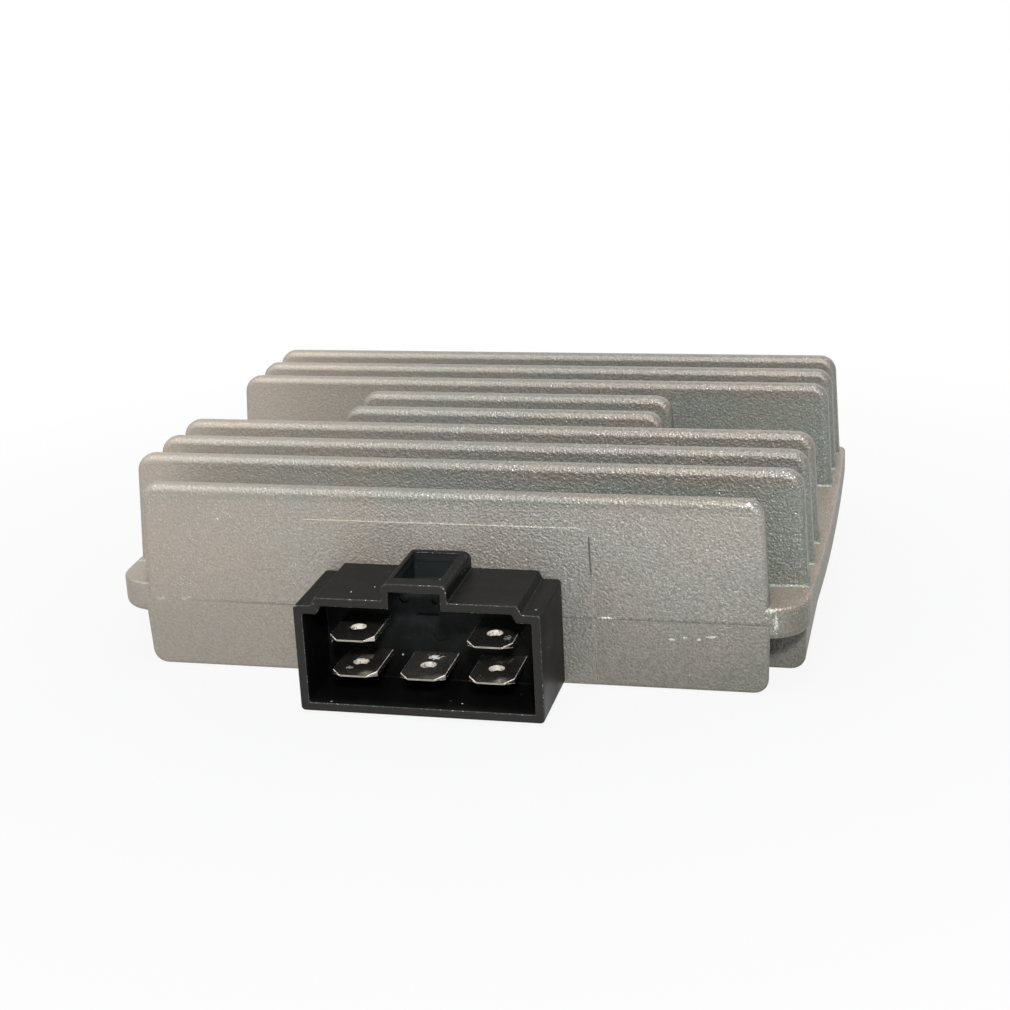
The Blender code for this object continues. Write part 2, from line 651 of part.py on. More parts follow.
def slab(x0, x1, y0, y1, z0, z1):
    bm = bmesh.new()
    bmesh.ops.create_cube(bm, size=1.0)
    for vert in bm.verts:
        vert.co.x = x1 if vert.co.x > 0 else x0
        vert.co.y = y1 if vert.co.y > 0 else y0
        vert.co.z = z1 if vert.co.z > 0 else z0
    return bm


def seat_on_board(piece, x, depth):
    spot = at(x, depth, MOUNT_PLANE)
    piece.location = spot
    for modifier in piece.modifiers:
        modifier.object.location = spot


def power_package(name, size, x, depth):
    # moulded body, cooling tab at its rear and two leads at its front, all soldered above
    width, length, tall = size
    piece = place(moulded(size), name, parts, "package_epoxy")
    half = width / 2 - TAB_INSET
    tab = slab(-half, half, length / 2 - PACKAGE_LAP, length / 2 + TAB_REACH, -TAB_THICKNESS, NUDGE)
    add(piece, tab, name + "_tab")
    for side in (-1, 1):
        middle = side * LEAD_PITCH / 2
        lead = slab(middle - LEAD_WIDTH / 2, middle + LEAD_WIDTH / 2, -length / 2 - LEAD_REACH,
                    -length / 2 + PACKAGE_LAP, -LEAD_THICKNESS, NUDGE)
        add(piece, lead, "%s_lead_%d" % (name, side + 2))
    seat_on_board(piece, x, depth)


def chip(name, x, depth):
    width, length, tall = CHIP
    piece = place(moulded(CHIP), name, parts, "package_epoxy")
    for index in range(CHIP_LEADS):
        middle = (index - (CHIP_LEADS - 1) / 2) * CHIP_LEAD_PITCH
        reach = length / 2 + CHIP_LEAD_REACH
        lead = slab(middle - CHIP_LEAD_WIDTH / 2, middle + CHIP_LEAD_WIDTH / 2, -reach, reach,
                    -CHIP_LEAD_THICKNESS, NUDGE)
        add(piece, lead, "%s_lead_%d" % (name, index + 1))
    seat_on_board(piece, x, depth)


def small_part(name, size, x, depth, finish):
    # a two-ended surface-mounted part with a solder end let into each end
    width, length, tall = size
    piece = place(moulded(size), name, parts, finish)
    run, across = max(width, length), min(width, length)
    half = across / 2 - CAP_INSET
    for end in (-1, 1):
        near, far = sorted((end * (run / 2 - CAP_LAP), end * (run / 2 + CAP_PROUD)))
        spans = (near, far, -half, half) if width > length else (-half, half, near, far)
        add(piece, slab(*spans, -tall / 2, NUDGE), "%s_end_%d" % (name, end + 2))
    seat_on_board(piece, x, depth)


def make_circuit():
    place(plate(board_outline(0.0), BOARD_BOTTOM, BOARD_TOP), "circuit_board", parts,
          "solder_resist")
    place(plate(board_outline(-SHEET_MARGIN), SHEET_TOP - SHEET_THICKNESS, SHEET_TOP),
          "thermal_sheet", parts, "silicone")
    for kind, (size, row) in POWER_DEVICES.items():
        for letter, slot in DEVICE_SLOTS.items():
            power_package("%s_%s" % (kind, letter), size, slot * DEVICE_PITCH, row_depth(row))
    chip("control_chip", 0.0, row_depth(0))
    bodies = {RESISTOR: "glazed_ceramic", ZENER: "package_epoxy", CAPACITOR: "tantalum_resin"}
    for name, (size, slot, row) in SMALL_PARTS.items():
        small_part(name, size, slot * CONTROL_PITCH, row_depth(row), bodies[size])


def pocket(x, depth, width, length, tall):
    # room for one component in the resin, open up to the board
    half = width / 2 + CLEAR
    reach = length / 2 + CLEAR
    return box(x - half, x + half, depth - reach, depth + reach, MOUNT_PLANE - tall - CLEAR,
               BOARD_TOP)


def make_resin():
    poured = plate(cavity_outline(CLEAR), RESIN_FACE, CAVITY_TOP - CLEAR)
    resin = place(poured, "potting_resin", parts, "potting_epoxy")
    cut(resin, plate(board_outline(CLEAR), MOUNT_PLANE, CAVITY_TOP + OVERRUN), "board_pocket")
    half = COLLAR_WIDTH / 2 + CLEAR
    collar = box(SHELL_OFFSET - half, SHELL_OFFSET + half, 0.0, COLLAR_BACK + CLEAR,
                 SPIGOT_BOTTOM - CLEAR, CAVITY_TOP + OVERRUN)
    cut(resin, collar, "collar_pocket")
    for name, (slot, row) in TERMINALS.items():
        middle = tail_place(slot, row)
        half = TAIL_WIDTH / 2 + CLEAR
        lowest = min(row, FOOT_HEIGHT) - BLADE_THICKNESS / 2 - CLEAR
        slit = box(middle - half, middle + half, 0.0, FOOT_END + CLEAR, lowest,
                   CAVITY_TOP + OVERRUN)
        cut(resin, slit, name + "_slit")
    for kind, (size, row) in POWER_DEVICES.items():
        width, length, tall = size
        middle = row_depth(row) + (TAB_REACH - LEAD_REACH) / 2
        for letter, slot in DEVICE_SLOTS.items():
            room = pocket(slot * DEVICE_PITCH, middle, width, length + TAB_REACH + LEAD_REACH, tall)
            cut(resin, room, "%s_%s_pocket" % (kind, letter))
    width, length, tall = CHIP
    cut(resin, pocket(0.0, row_depth(0), width, length + 2 * CHIP_LEAD_REACH, tall), "chip_pocket")
    for name, (size, slot, row) in SMALL_PARTS.items():
        width, length, tall = size
        room = pocket(slot * CONTROL_PITCH, row_depth(row), width + 2 * CAP_PROUD,
                      length + 2 * CAP_PROUD, tall)
        cut(resin, room, name + "_pocket")


for leftover in list(bpy.data.objects):
    bpy.data.objects.remove(leftover)
parts = bpy.data.collections.new("voltage_regulator")
tools = bpy.data.collections.new("cutters")
for collection in (parts, tools):
    bpy.context.scene.collection.children.link(collection)
tools.hide_render = True

make_casting()
make_shell()
make_terminals()
make_circuit()
make_resin()

root = bpy.data.objects.new("regulator", None)
parts.objects.link(root)
for piece in [item for item in parts.objects if item.type == "MESH"]:
    piece.parent = root
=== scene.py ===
import math

import bmesh
import bpy
from mathutils import Matrix, Vector


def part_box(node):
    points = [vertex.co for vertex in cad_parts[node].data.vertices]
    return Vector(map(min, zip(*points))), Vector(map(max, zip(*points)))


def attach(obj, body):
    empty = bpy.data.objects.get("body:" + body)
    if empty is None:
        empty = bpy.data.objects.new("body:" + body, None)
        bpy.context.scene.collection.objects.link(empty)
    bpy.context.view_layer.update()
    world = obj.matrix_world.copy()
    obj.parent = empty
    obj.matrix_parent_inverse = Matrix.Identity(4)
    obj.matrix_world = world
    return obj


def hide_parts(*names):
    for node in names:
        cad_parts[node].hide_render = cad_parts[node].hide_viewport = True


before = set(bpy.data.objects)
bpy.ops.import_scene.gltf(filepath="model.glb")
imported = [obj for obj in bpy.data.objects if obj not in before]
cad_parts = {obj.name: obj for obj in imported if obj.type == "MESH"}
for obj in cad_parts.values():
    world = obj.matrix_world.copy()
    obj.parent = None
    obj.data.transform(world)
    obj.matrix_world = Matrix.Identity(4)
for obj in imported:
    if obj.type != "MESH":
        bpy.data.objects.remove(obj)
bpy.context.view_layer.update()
mm = 0.001

# Corners of the casting and the connector, read from the frame
castLow, castHigh = [Vector(corner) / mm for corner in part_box("heat_sink_casting")]
shellLow, shellHigh = [Vector(corner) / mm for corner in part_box("connector_shell")]
padRaise = 0.35
faceY = castLow.y + padRaise      # front plate's face; depths below count back from it
print("frame loaded: casting %.1f x %.1f x %.1f mm" % tuple(castHigh - castLow))


# Small helpers for working in edit mode

def selectOnly(obj):
    if bpy.context.mode != "OBJECT":
        bpy.ops.object.mode_set(mode="OBJECT")
    bpy.ops.object.select_all(action="DESELECT")
    obj.select_set(True)
    bpy.context.view_layer.objects.active = obj


def startEdit(obj):
    selectOnly(obj)
    bpy.ops.object.mode_set(mode="EDIT")


def endEdit():
    bpy.ops.object.mode_set(mode="OBJECT")


def cubeBetween(name, low, high):
    # a cube primitive stretched between two corners, place and size put into its mesh
    bpy.ops.object.select_all(action="DESELECT")
    low, high = Vector(low) * mm, Vector(high) * mm
    bpy.ops.mesh.primitive_cube_add(size=1, location=(low + high) / 2)
    block = bpy.context.object
    block.name = name
    block.scale = high - low
    bpy.ops.object.transform_apply(location=True, rotation=True, scale=True)
    return block


def rodAt(name, centre, radius, length, sides, turn=(0, 0, 0)):
    bpy.ops.object.select_all(action="DESELECT")
    bpy.ops.mesh.primitive_cylinder_add(vertices=sides, radius=radius * mm, depth=length * mm,
                                        location=Vector(centre) * mm, rotation=turn)
    rod = bpy.context.object
    rod.name = name
    bpy.ops.object.transform_apply(location=True, rotation=True, scale=True)
    return rod


def middle(item):
    if isinstance(item, bmesh.types.BMFace):
        return item.calc_center_median() / mm
    return (item.verts[0].co + item.verts[1].co) / 2 / mm


def runs(edge, axis):
    # does this edge lie along an axis
    step = (edge.verts[1].co - edge.verts[0].co).normalized()
    return abs(step["xyz".index(axis)]) > 0.9


def choose(obj, kind, wanted):
    # selects the faces or edges that pass a test
    bpy.ops.mesh.select_mode(type="FACE" if kind == "faces" else "EDGE")
    bpy.ops.mesh.select_all(action="DESELECT")
    shape = bmesh.from_edit_mesh(obj.data)
    for item in [item for item in getattr(shape, kind) if wanted(item)]:
        item.select_set(True)
    bmesh.update_edit_mesh(obj.data)


def roundOff(obj, wanted, radius, steps):
    choose(obj, "edges", wanted)
    bpy.ops.mesh.bevel(offset=radius * mm, segments=steps, profile=0.5, affect="EDGES")


def sliceAt(obj, wanted, axis, places):
    # cuts the chosen faces across at each place along an axis
    normal = [float(axis == name) for name in "xyz"]
    for place in places:
        choose(obj, "faces", wanted)
        bpy.ops.mesh.bisect(plane_co=[value * place * mm for value in normal], plane_no=normal)


def pull(obj, wanted, move, squeeze=(1, 1, 1)):
    # extrudes the chosen faces, then scales their far end about its own middle
    choose(obj, "faces", wanted)
    bpy.ops.mesh.extrude_region_move(TRANSFORM_OT_translate={"value": Vector(move) * mm})
    shape = bmesh.from_edit_mesh(obj.data)
    spots = [vert.co for vert in shape.verts if vert.select]
    centre = (Vector([min(spot[i] for spot in spots) for i in range(3)])
              + Vector([max(spot[i] for spot in spots) for i in range(3)])) / 2
    bpy.ops.transform.resize(value=squeeze, center_override=centre)


def combine(body, tool, operation="UNION"):
    selectOnly(body)
    step = body.modifiers.new(tool.name, "BOOLEAN")
    step.operation = operation
    step.solver = "EXACT"
    step.object = tool
    bpy.ops.object.modifier_apply(modifier=step.name)
    bpy.data.objects.remove(tool)


def smoothOff(obj, angle=30):
    # soft shading that leaves the flat faces flat
    selectOnly(obj)
    bpy.ops.object.shade_smooth_by_angle(angle=math.radians(angle))
    step = obj.modifiers.new("flat faces stay flat", "WEIGHTED_NORMAL")
    step.keep_sharp = True
    bpy.ops.object.modifier_apply(modifier=step.name)


# Heat-sink casting: finned base, lower case and front plate, then the cavity below

casting = {
    "finCount": 9, "pitch": 8.9, "finRoot": 4.0, "finTip": 2.8, "finLength": 98.9,
    "finTop": 28.85, "shortFins": (5, 6), "shortLength": 52.0, "endLean": 0.8, "finCorner": 2.4,
    "ridge": 1.0, "footFillet": 0.4, "baseTop": 12.5, "flangeThick": 4.6, "setback": 0.3,
    "drawFront": 1.1, "drawRear": 0.6, "bulgeCuts": (5.6, 7.2, 14.9), "frontCorner": 5.2,
    "rearCorner": 1.8, "topEdge": 0.35, "lowerEdge": 1.0, "rearLedge": 0.9, "caseWidth": 98.8,
    "draft": 0.3, "caseCorner": 2.0, "caseEdge": 0.5, "parting": 10.3, "partingStep": 0.12,
    "frontLength": 90.4, "frontTaper": 1.0, "frontTop": 27.4, "frontLean": 0.45,
    "plateCorner": 2.2, "wall": 3.0, "roof": 3.0, "boltSpacing": 80.0, "boltHole": 6.5,
    "bossRadius": 7.5, "padWidth": 43.0, "padTop": 23.2, "padBottom": 0.4, "padTaper": 0.7,
    "padCorner": 1.5, "padOffset": -0.1, "padLean": 0.36, "padEdge": 0.12,
    "notchWidth": 26.6, "notchTop": 9.2,
}


def makeFinnedBase(c):
    low = c["baseTop"] - c["flangeThick"]
    half = castHigh.x - c["drawFront"]
    base = cubeBetween("finned_base", (-half, faceY + c["setback"], low), (half, castHigh.y, c["baseTop"]))
    startEdit(base)
    roundOff(base, lambda e: runs(e, "z") and middle(e).y < 0, c["frontCorner"], 8)
    roundOff(base, lambda e: runs(e, "z") and middle(e).y > castHigh.y - 1, c["rearCorner"], 5)
    roundOff(base, lambda e: middle(e).z > c["baseTop"] - 0.01 and not runs(e, "z"), c["topEdge"], 3)
    roundOff(base, lambda e: middle(e).z < low + 0.01 and not runs(e, "z"), c["lowerEdge"], 5)
    fins = {number: faceY + (number - 1) * c["pitch"] for number in range(2, c["finCount"] + 1)}
    cuts = [y + side for y in fins.values() for side in (0, c["finRoot"])]
    sliceAt(base, lambda f: True, "y", cuts + [faceY + depth for depth in c["bulgeCuts"]])
    # the sides bulge: they draw in to the front and, less, to the rear
    shape = bmesh.from_edit_mesh(base.data)
    depth = castHigh.y - faceY - c["setback"]
    for vert in shape.verts:
        t = (vert.co.y / mm - faceY - c["setback"]) / depth
        draw = (c["drawFront"] if t < 0.5 else c["drawRear"]) * (1 - 2 * t) ** 2
        vert.co.x += math.copysign((c["drawFront"] - draw) * mm, vert.co.x)
    bmesh.update_edit_mesh(base.data)

    def onTop(face):
        return face.normal.z > 0.999 and middle(face).z > c["baseTop"] - 0.01

    ends = c["finLength"] / 2
    sliceAt(base, onTop, "x", (-ends, ends))
    for number in c["shortFins"]:
        y = fins[number] + c["finRoot"] / 2
        sliceAt(base, lambda f: onTop(f) and abs(middle(f).y - y) < c["finRoot"] / 2,
                "x", (-c["shortLength"] / 2, c["shortLength"] / 2))
    # fins, pulled up out of the base and drawn in
    rise = c["finTop"] - c["baseTop"]
    for number, y in fins.items():
        length = c["shortLength"] if number in c["shortFins"] else c["finLength"]
        pull(base, lambda f: onTop(f) and abs(middle(f).y - y - c["finRoot"] / 2) < c["finRoot"] / 2
             and abs(middle(f).x) < length / 2,
             (0, 0, rise), (1 - 2 * c["endLean"] / length, c["finTip"] / c["finRoot"], 1))
    roundOff(base, lambda e: runs(e, "y") and middle(e).z > c["finTop"] - 0.1
             and any(abs(f.normal.x) > 0.9 for f in e.link_faces), c["finCorner"], 6)

    lastFin = fins[c["finCount"]] + 0.05      # behind this the ledge is too narrow for a fillet

    def insideFins(edge):
        spot = middle(edge)
        return abs(spot.x) < ends + 0.05 and spot.y > faceY + c["pitch"] - 0.1

    def atFoot(edge):
        level = all(abs(vert.co.z / mm - c["baseTop"]) < 0.01 for vert in edge.verts)
        slopes = sorted(face.normal.z for face in edge.link_faces)
        return level and -0.1 < slopes[0] < 0.5 and slopes[-1] > 0.9 \
            and middle(edge).y < lastFin and insideFins(edge)

    def onRidge(edge):
        if max(vert.co.z for vert in edge.verts) / mm < c["baseTop"] + 1.0:
            return False
        return [abs(face.normal.y) > 0.9 for face in edge.link_faces].count(True) == 1

    roundOff(base, atFoot, c["footFillet"], 3)
    roundOff(base, onRidge, c["ridge"], 5)
    endEdit()
    return base


def drawIn(block, face, width, depth, centreY, shift=0):
    # tapers a block by shrinking its top or bottom face, with an optional lean
    choose(block, "faces", face)
    bpy.ops.transform.resize(value=(width, depth, 1), center_override=(0, centreY * mm, 0))
    bpy.ops.transform.translate(value=(0, shift * mm, 0))


def makeCase(c, name, width, front, rear, taper=0.0):
    # lower section: leans in towards the resting face, its bottom side edges well rounded
    half = width / 2
    case = cubeBetween(name, (-half, front, 0), (half, rear, c["parting"]))
    startEdit(case)
    drawIn(case, lambda f: f.normal.z < -0.9, 1 - c["draft"] / half, 1 - 2 * c["draft"] / (rear - front),
           (front + rear) / 2)
    choose(case, "faces", lambda f: f.normal.y > 0.9)
    bpy.ops.transform.resize(value=(1 - taper / half, 1, 1), center_override=(0, 0, 0))
    roundOff(case, lambda e: runs(e, "y") and middle(e).z < 0.1, c["caseCorner"], 6)
    roundOff(case, lambda e: middle(e).z < c["parting"] - 0.1
             and [abs(f.normal.y) > 0.9 for f in e.link_faces].count(True) == 1, c["caseEdge"], 4)
    endEdit()
    return case


def makeFrontPlate(c):
    # first fin, standing on the front case and set in by the step at the die's parting line
    half = c["frontLength"] / 2 - c["partingStep"]
    front, rear = faceY + c["partingStep"], faceY + c["finRoot"]
    thick = rear - front
    plate = cubeBetween("front_plate", (-half, front, c["parting"] - 1), (half, rear, c["frontTop"]))
    startEdit(plate)
    lean = faceY + c["frontLean"] + c["finTip"] / 2 - (front + rear) / 2
    drawIn(plate, lambda f: f.normal.z > 0.9, 1 - c["endLean"] / half, c["finTip"] / thick,
           (front + rear) / 2, lean)
    roundOff(plate, lambda e: runs(e, "y") and middle(e).z > c["frontTop"] - 0.1, c["plateCorner"], 7)
    roundOff(plate, lambda e: middle(e).z > c["parting"] - 0.9
             and [abs(f.normal.y) > 0.9 for f in e.link_faces].count(True) == 1, c["ridge"], 5)
    endEdit()
    return plate


def makePad(c):
    half = c["padWidth"] / 2
    x = c["padOffset"]
    pad = cubeBetween("connector_pad", (x - half, faceY - padRaise, c["padBottom"]),
                      (x + half, faceY + c["finRoot"] / 2, c["padTop"]))
    startEdit(pad)
    choose(pad, "faces", lambda f: f.normal.z > 0.9)
    bpy.ops.transform.resize(value=(1 - c["padTaper"] / half, 1, 1), center_override=(x * mm, 0, 0))
    bpy.ops.transform.translate(value=(0, c["padLean"] * mm, 0))
    roundOff(pad, lambda e: runs(e, "y") and middle(e).z > c["padTop"] - 0.1, c["padCorner"], 6)
    roundOff(pad, lambda e: middle(e).y < faceY + 0.4
             and [f.normal.y < -0.9 for f in e.link_faces].count(True) == 1, c["padEdge"], 3)
    endEdit()
    return pad


def makeCavity(c):
    # the space inside the walls, less the two bolt bosses
    roof = c["baseTop"] - c["roof"]
    side = c["caseWidth"] / 2 - c["wall"]
    front = c["frontLength"] / 2 - c["frontTaper"] - c["wall"]
    step = faceY + c["pitch"] + c["wall"]
    rear = castHigh.y - c["rearLedge"] - c["wall"]
    cavity = cubeBetween("cavity", (-side, step, -5), (side, rear, roof))
    combine(cavity, cubeBetween("cavity_front", (-front, faceY + c["finRoot"], -5), (front, step + 1, roof)))
    boltY = faceY + (sum(c["shortFins"]) / 2 - 1) * c["pitch"] + c["finRoot"] / 2
    for way in (-1, 1):
        x = way * c["boltSpacing"] / 2
        r = c["bossRadius"]
        low, high = sorted((x - way * r, way * 60))
        boss = cubeBetween("boss", (low, boltY - r, -6), (high, boltY + r, 20))
        startEdit(boss)
        roundOff(boss, lambda e: runs(e, "z") and abs(middle(e).x) < 55, r * 0.98, 12)
        endEdit()
        combine(cavity, boss, "DIFFERENCE")
    holes = [rodAt("bolt_hole", (way * c["boltSpacing"] / 2, boltY, 5), c["boltHole"] / 2, 40, 48)
             for way in (-1, 1)]
    return cavity, holes


def makeCasting():
    c = casting
    body = makeFinnedBase(c)
    front, rear = faceY + c["pitch"], castHigh.y - c["rearLedge"]
    combine(body, makeCase(c, "main_case", c["caseWidth"], front, rear))
    combine(body, makeCase(c, "front_case", c["frontLength"], faceY, front + c["wall"] / 2, c["frontTaper"]))
    combine(body, makeFrontPlate(c))
    combine(body, makePad(c))
    cavity, holes = makeCavity(c)
    combine(body, cavity, "DIFFERENCE")
    x, half = c["padOffset"], c["notchWidth"] / 2
    notch = cubeBetween("notch", (x - half, faceY - 5, -5), (x + half, faceY + 9, c["notchTop"]))
    combine(body, notch, "DIFFERENCE")
    for hole in holes:
        combine(body, hole, "DIFFERENCE")
    body.name = "heat_sink"
    body.data.name = "heat_sink"
    smoothOff(body)
    return body


heatSink = makeCasting()
print("heat sink: %d faces" % len(heatSink.data.polygons))


# Connector shell: shroud with a stepped top, latch block and window

connector = {
    "offset": -0.1, "reach": 13.9, "backGap": 0.36, "width": 34.0, "bottom": 0.5, "shoulder": 15.9,
    "stepWidth": 29.0, "stepSlope": 0.6, "top": 17.1, "wall": 1.25, "socketDepth": 9.5, "edge": 0.22,
    "corner": 0.6, "latchWidth": 9.0, "latchTop": 19.5, "latchWall": 0.95, "latchCorner": 1.1,
    "latchDepth": 12.6, "clear": 0.02, "windowWidth": 6.4, "windowLength": 10.0, "windowFront": 2.4,
    "windowShift": -0.07, "windowEdge": 0.12, "spigotWidth": 26.0, "spigotLow": 1.3,
    "spigotTop": 8.9, "collarWidth": 30.0, "collarFront": 4.3, "collarBack": 5.5, "collarTop": 9.2,
    # marks in the socket's back wall: place across and up, radius, sides, depth
    "pinMarks": ((0.7, 8.75, 1.25, 8, 0.22), (-4.25, 13.78, 0.8, 32, 0.3), (0.1, 13.46, 0.5, 32, 0.3)),
    # its groove: from and to across, from and to up, depth
    "groove": (-2.6, 0.4, 11.35, 11.75, 0.3),
}

blades = {
    "width": 6.3, "thick": 0.8, "pitch": 9.55, "lowerRow": 5.6, "upperRow": 10.75, "recess": 0.8,
    "nose": 1.2, "taper": 1.5, "tipShare": 0.26, "burr": 0.13, "hole": 2.1, "holeBack": 4.1,
    "holeEdge": 0.06, "seat": 1.0, "seatGap": 0.03, "gap": 0.3, "tailWidth": 2.6, "tailShift": 1.8,
    "drop": -2.2, "bend": 1.0, "bendStart": 6.7, "footHeight": 6.6, "footStart": 9.4, "footEnd": 12.4,
}

terminals = {
    "stator_terminal_a": (-1, "lowerRow"), "stator_terminal_b": (0, "lowerRow"),
    "stator_terminal_c": (1, "lowerRow"), "battery_terminal": (-1, "upperRow"),
    "ground_terminal": (1, "upperRow"),
}


def makeTail(name, slot, row, grow):
    # bent strip from the blade's root to the board, as a ribbon given its thickness
    b = blades
    z = b[row]
    neck = -connector["reach"] + connector["socketDepth"] + b["seat"] - b["gap"]
    if row == "upperRow":
        path = [(neck, z), (b["drop"], z), (b["drop"], b["footHeight"]), (b["footEnd"], b["footHeight"])]
    else:
        path = [(neck, z), (b["bendStart"], z), (b["footStart"], b["footHeight"]),
                (b["footEnd"], b["footHeight"])]
    shift = b["tailShift"] if row == "upperRow" else -b["tailShift"]
    x = connector["offset"] + slot * b["pitch"] + shift
    bpy.ops.object.select_all(action="DESELECT")
    bpy.ops.mesh.primitive_plane_add(size=1)
    tail = bpy.context.object
    tail.name = name
    tail.scale = ((b["tailWidth"] + 2 * grow) * mm, (path[1][0] - path[0][0]) * mm, 1)
    tail.location = (x * mm, (faceY + (path[0][0] + path[1][0]) / 2) * mm, z * mm)
    bpy.ops.object.transform_apply(location=True, rotation=True, scale=True)
    startEdit(tail)
    for (y0, z0), (y1, z1) in zip(path[1:], path[2:]):
        choose(tail, "edges", lambda e: runs(e, "x") and abs(middle(e).y - faceY - y0) < 0.01
               and abs(middle(e).z - z0) < 0.01)
        bpy.ops.mesh.extrude_region_move(
            TRANSFORM_OT_translate={"value": (0, (y1 - y0) * mm, (z1 - z0) * mm)})
    roundOff(tail, lambda e: len(e.link_faces) == 2, b["bend"], 4)
    bpy.ops.mesh.select_all(action="SELECT")
    bpy.ops.mesh.normals_make_consistent(inside=False)
    endEdit()
    step = tail.modifiers.new("thickness", "SOLIDIFY")
    step.thickness = (b["thick"] + 2 * grow) * mm
    step.offset = 0
    step.use_even_offset = True
    bpy.ops.object.modifier_apply(modifier=step.name)
    startEdit(tail)
    bpy.ops.mesh.select_all(action="SELECT")
    bpy.ops.mesh.normals_make_consistent(inside=False)
    endEdit()
    return tail


def makeShell():
    c = connector
    x, half = c["offset"], c["width"] / 2
    front, back = faceY - c["reach"], faceY - c["backGap"]
    shell = cubeBetween("shell", (x - half, front, c["bottom"]), (x + half, back, c["shoulder"]))
    startEdit(shell)
    foot, latch = c["stepWidth"] / 2, c["latchWidth"] / 2

    def onTop(face):
        return face.normal.z > 0.9

    sliceAt(shell, onTop, "x", (x - foot, x + foot))
    pull(shell, lambda f: onTop(f) and abs(middle(f).x - x) < 1, (0, 0, c["top"] - c["shoulder"]),
         (1 - c["stepSlope"] / foot, 1, 1))
    sliceAt(shell, lambda f: onTop(f) and middle(f).z > c["top"] - 0.1, "x", (x - latch, x + latch))
    pull(shell, lambda f: onTop(f) and middle(f).z > c["top"] - 0.1 and abs(middle(f).x - x) < 1,
         (0, 0, c["latchTop"] - c["top"]))
    # the rim, then the socket pushed in behind it
    choose(shell, "faces", lambda f: f.normal.y < -0.9)
    bpy.ops.mesh.inset(thickness=c["wall"] * mm, depth=0, use_even_offset=True)
    bpy.ops.mesh.extrude_region_move(TRANSFORM_OT_translate={"value": (0, c["socketDepth"] * mm, 0)})
    bpy.ops.mesh.select_all(action="SELECT")
    bpy.ops.mesh.dissolve_limited(angle_limit=math.radians(1))
    # the latch block's side walls are thinner than the rest
    inner = latch - c["wall"]
    choose(shell, "faces", lambda f: abs(f.normal.x) > 0.9 and abs(abs(middle(f).x - x) - inner) < 0.01)
    bpy.ops.transform.resize(value=((latch - c["latchWall"]) / inner, 1, 1), center_override=(x * mm, 0, 0))

    def onCorner(edge, corners):
        spot = middle(edge)
        return runs(edge, "y") and any(abs(abs(spot.x - x) - side) < 0.01 and abs(spot.z - z) < 0.01
                                       for side, z in corners)

    lower = [(half, c["bottom"]), (half, c["shoulder"])]
    roundOff(shell, lambda e: onCorner(e, lower), c["corner"], 6)
    roundOff(shell, lambda e: onCorner(e, [(latch, c["latchTop"])]), c["latchCorner"], 8)
    endEdit()
    # soft moulded edges
    step = shell.modifiers.new("moulded edges", "BEVEL")
    step.width = c["edge"] * mm
    step.segments = 3
    step.limit_method = "ANGLE"
    step.angle_limit = math.radians(20)
    bpy.ops.object.modifier_apply(modifier=step.name)
    # the latch's channel runs on behind the socket; it is kept just inside the socket's own walls
    inner = latch - c["latchWall"] - c["clear"]
    low, high = c["top"] - c["wall"] + c["clear"], c["latchTop"] - c["wall"] - c["clear"]
    channel = cubeBetween("channel", (x - inner, front + c["socketDepth"] - 1, low),
                          (x + inner, front + c["latchDepth"], high))
    combine(shell, channel, "DIFFERENCE")
    w, centre = c["windowWidth"] / 2, x + c["windowShift"]
    near = front + c["windowFront"]
    far = near + c["windowLength"]
    window = cubeBetween("window", (centre - w, near, c["top"] - 0.3), (centre + w, far, c["latchTop"] + 2))
    combine(shell, window, "DIFFERENCE")
    startEdit(shell)
    roundOff(shell, lambda e: abs(middle(e).z - c["latchTop"]) < 0.01 and abs(middle(e).x - centre) < w + 0.01
             and near - 0.01 < middle(e).y < far + 0.01, c["windowEdge"], 2)
    endEdit()
    w = c["spigotWidth"] / 2
    combine(shell, cubeBetween("spigot", (x - w, back - 1, c["spigotLow"]),
                               (x + w, faceY + c["collarBack"], c["spigotTop"])))
    w = c["collarWidth"] / 2
    combine(shell, cubeBetween("collar", (x - w, faceY + c["collarFront"], c["spigotLow"] - 0.01),
                               (x + w, faceY + c["collarBack"] + 0.01, c["collarTop"])))
    b = blades
    for slot, row in terminals.values():
        centre, z = x + slot * b["pitch"], b[row]
        w, t = b["width"] / 2 + b["seatGap"], b["thick"] / 2 + b["seatGap"]
        seat = cubeBetween("seat", (centre - w, front + c["socketDepth"] - 1, z - t),
                           (centre + w, front + c["socketDepth"] + b["seat"] + b["gap"], z + t))
        combine(shell, seat, "DIFFERENCE")
        combine(shell, makeTail("passage", slot, row, b["gap"]), "DIFFERENCE")
    # witness marks of the mould's pins and insert on the socket's back wall
    wallY = front + c["socketDepth"]
    for across, up, radius, sides, depth in c["pinMarks"]:
        pin = rodAt("pin", (x + across, wallY, up), radius, 2 * depth, sides, (math.radians(90), 0, 0))
        combine(shell, pin, "DIFFERENCE")
    left, right, low, high, depth = c["groove"]
    combine(shell, cubeBetween("groove", (left, wallY - 1, low), (right, wallY + depth, high)), "DIFFERENCE")
    shell.name = "connector_housing"
    shell.data.name = "connector_housing"
    smoothOff(shell)
    return shell


shroud = makeShell()
print("connector housing: %d faces" % len(shroud.data.polygons))


# Blade terminals

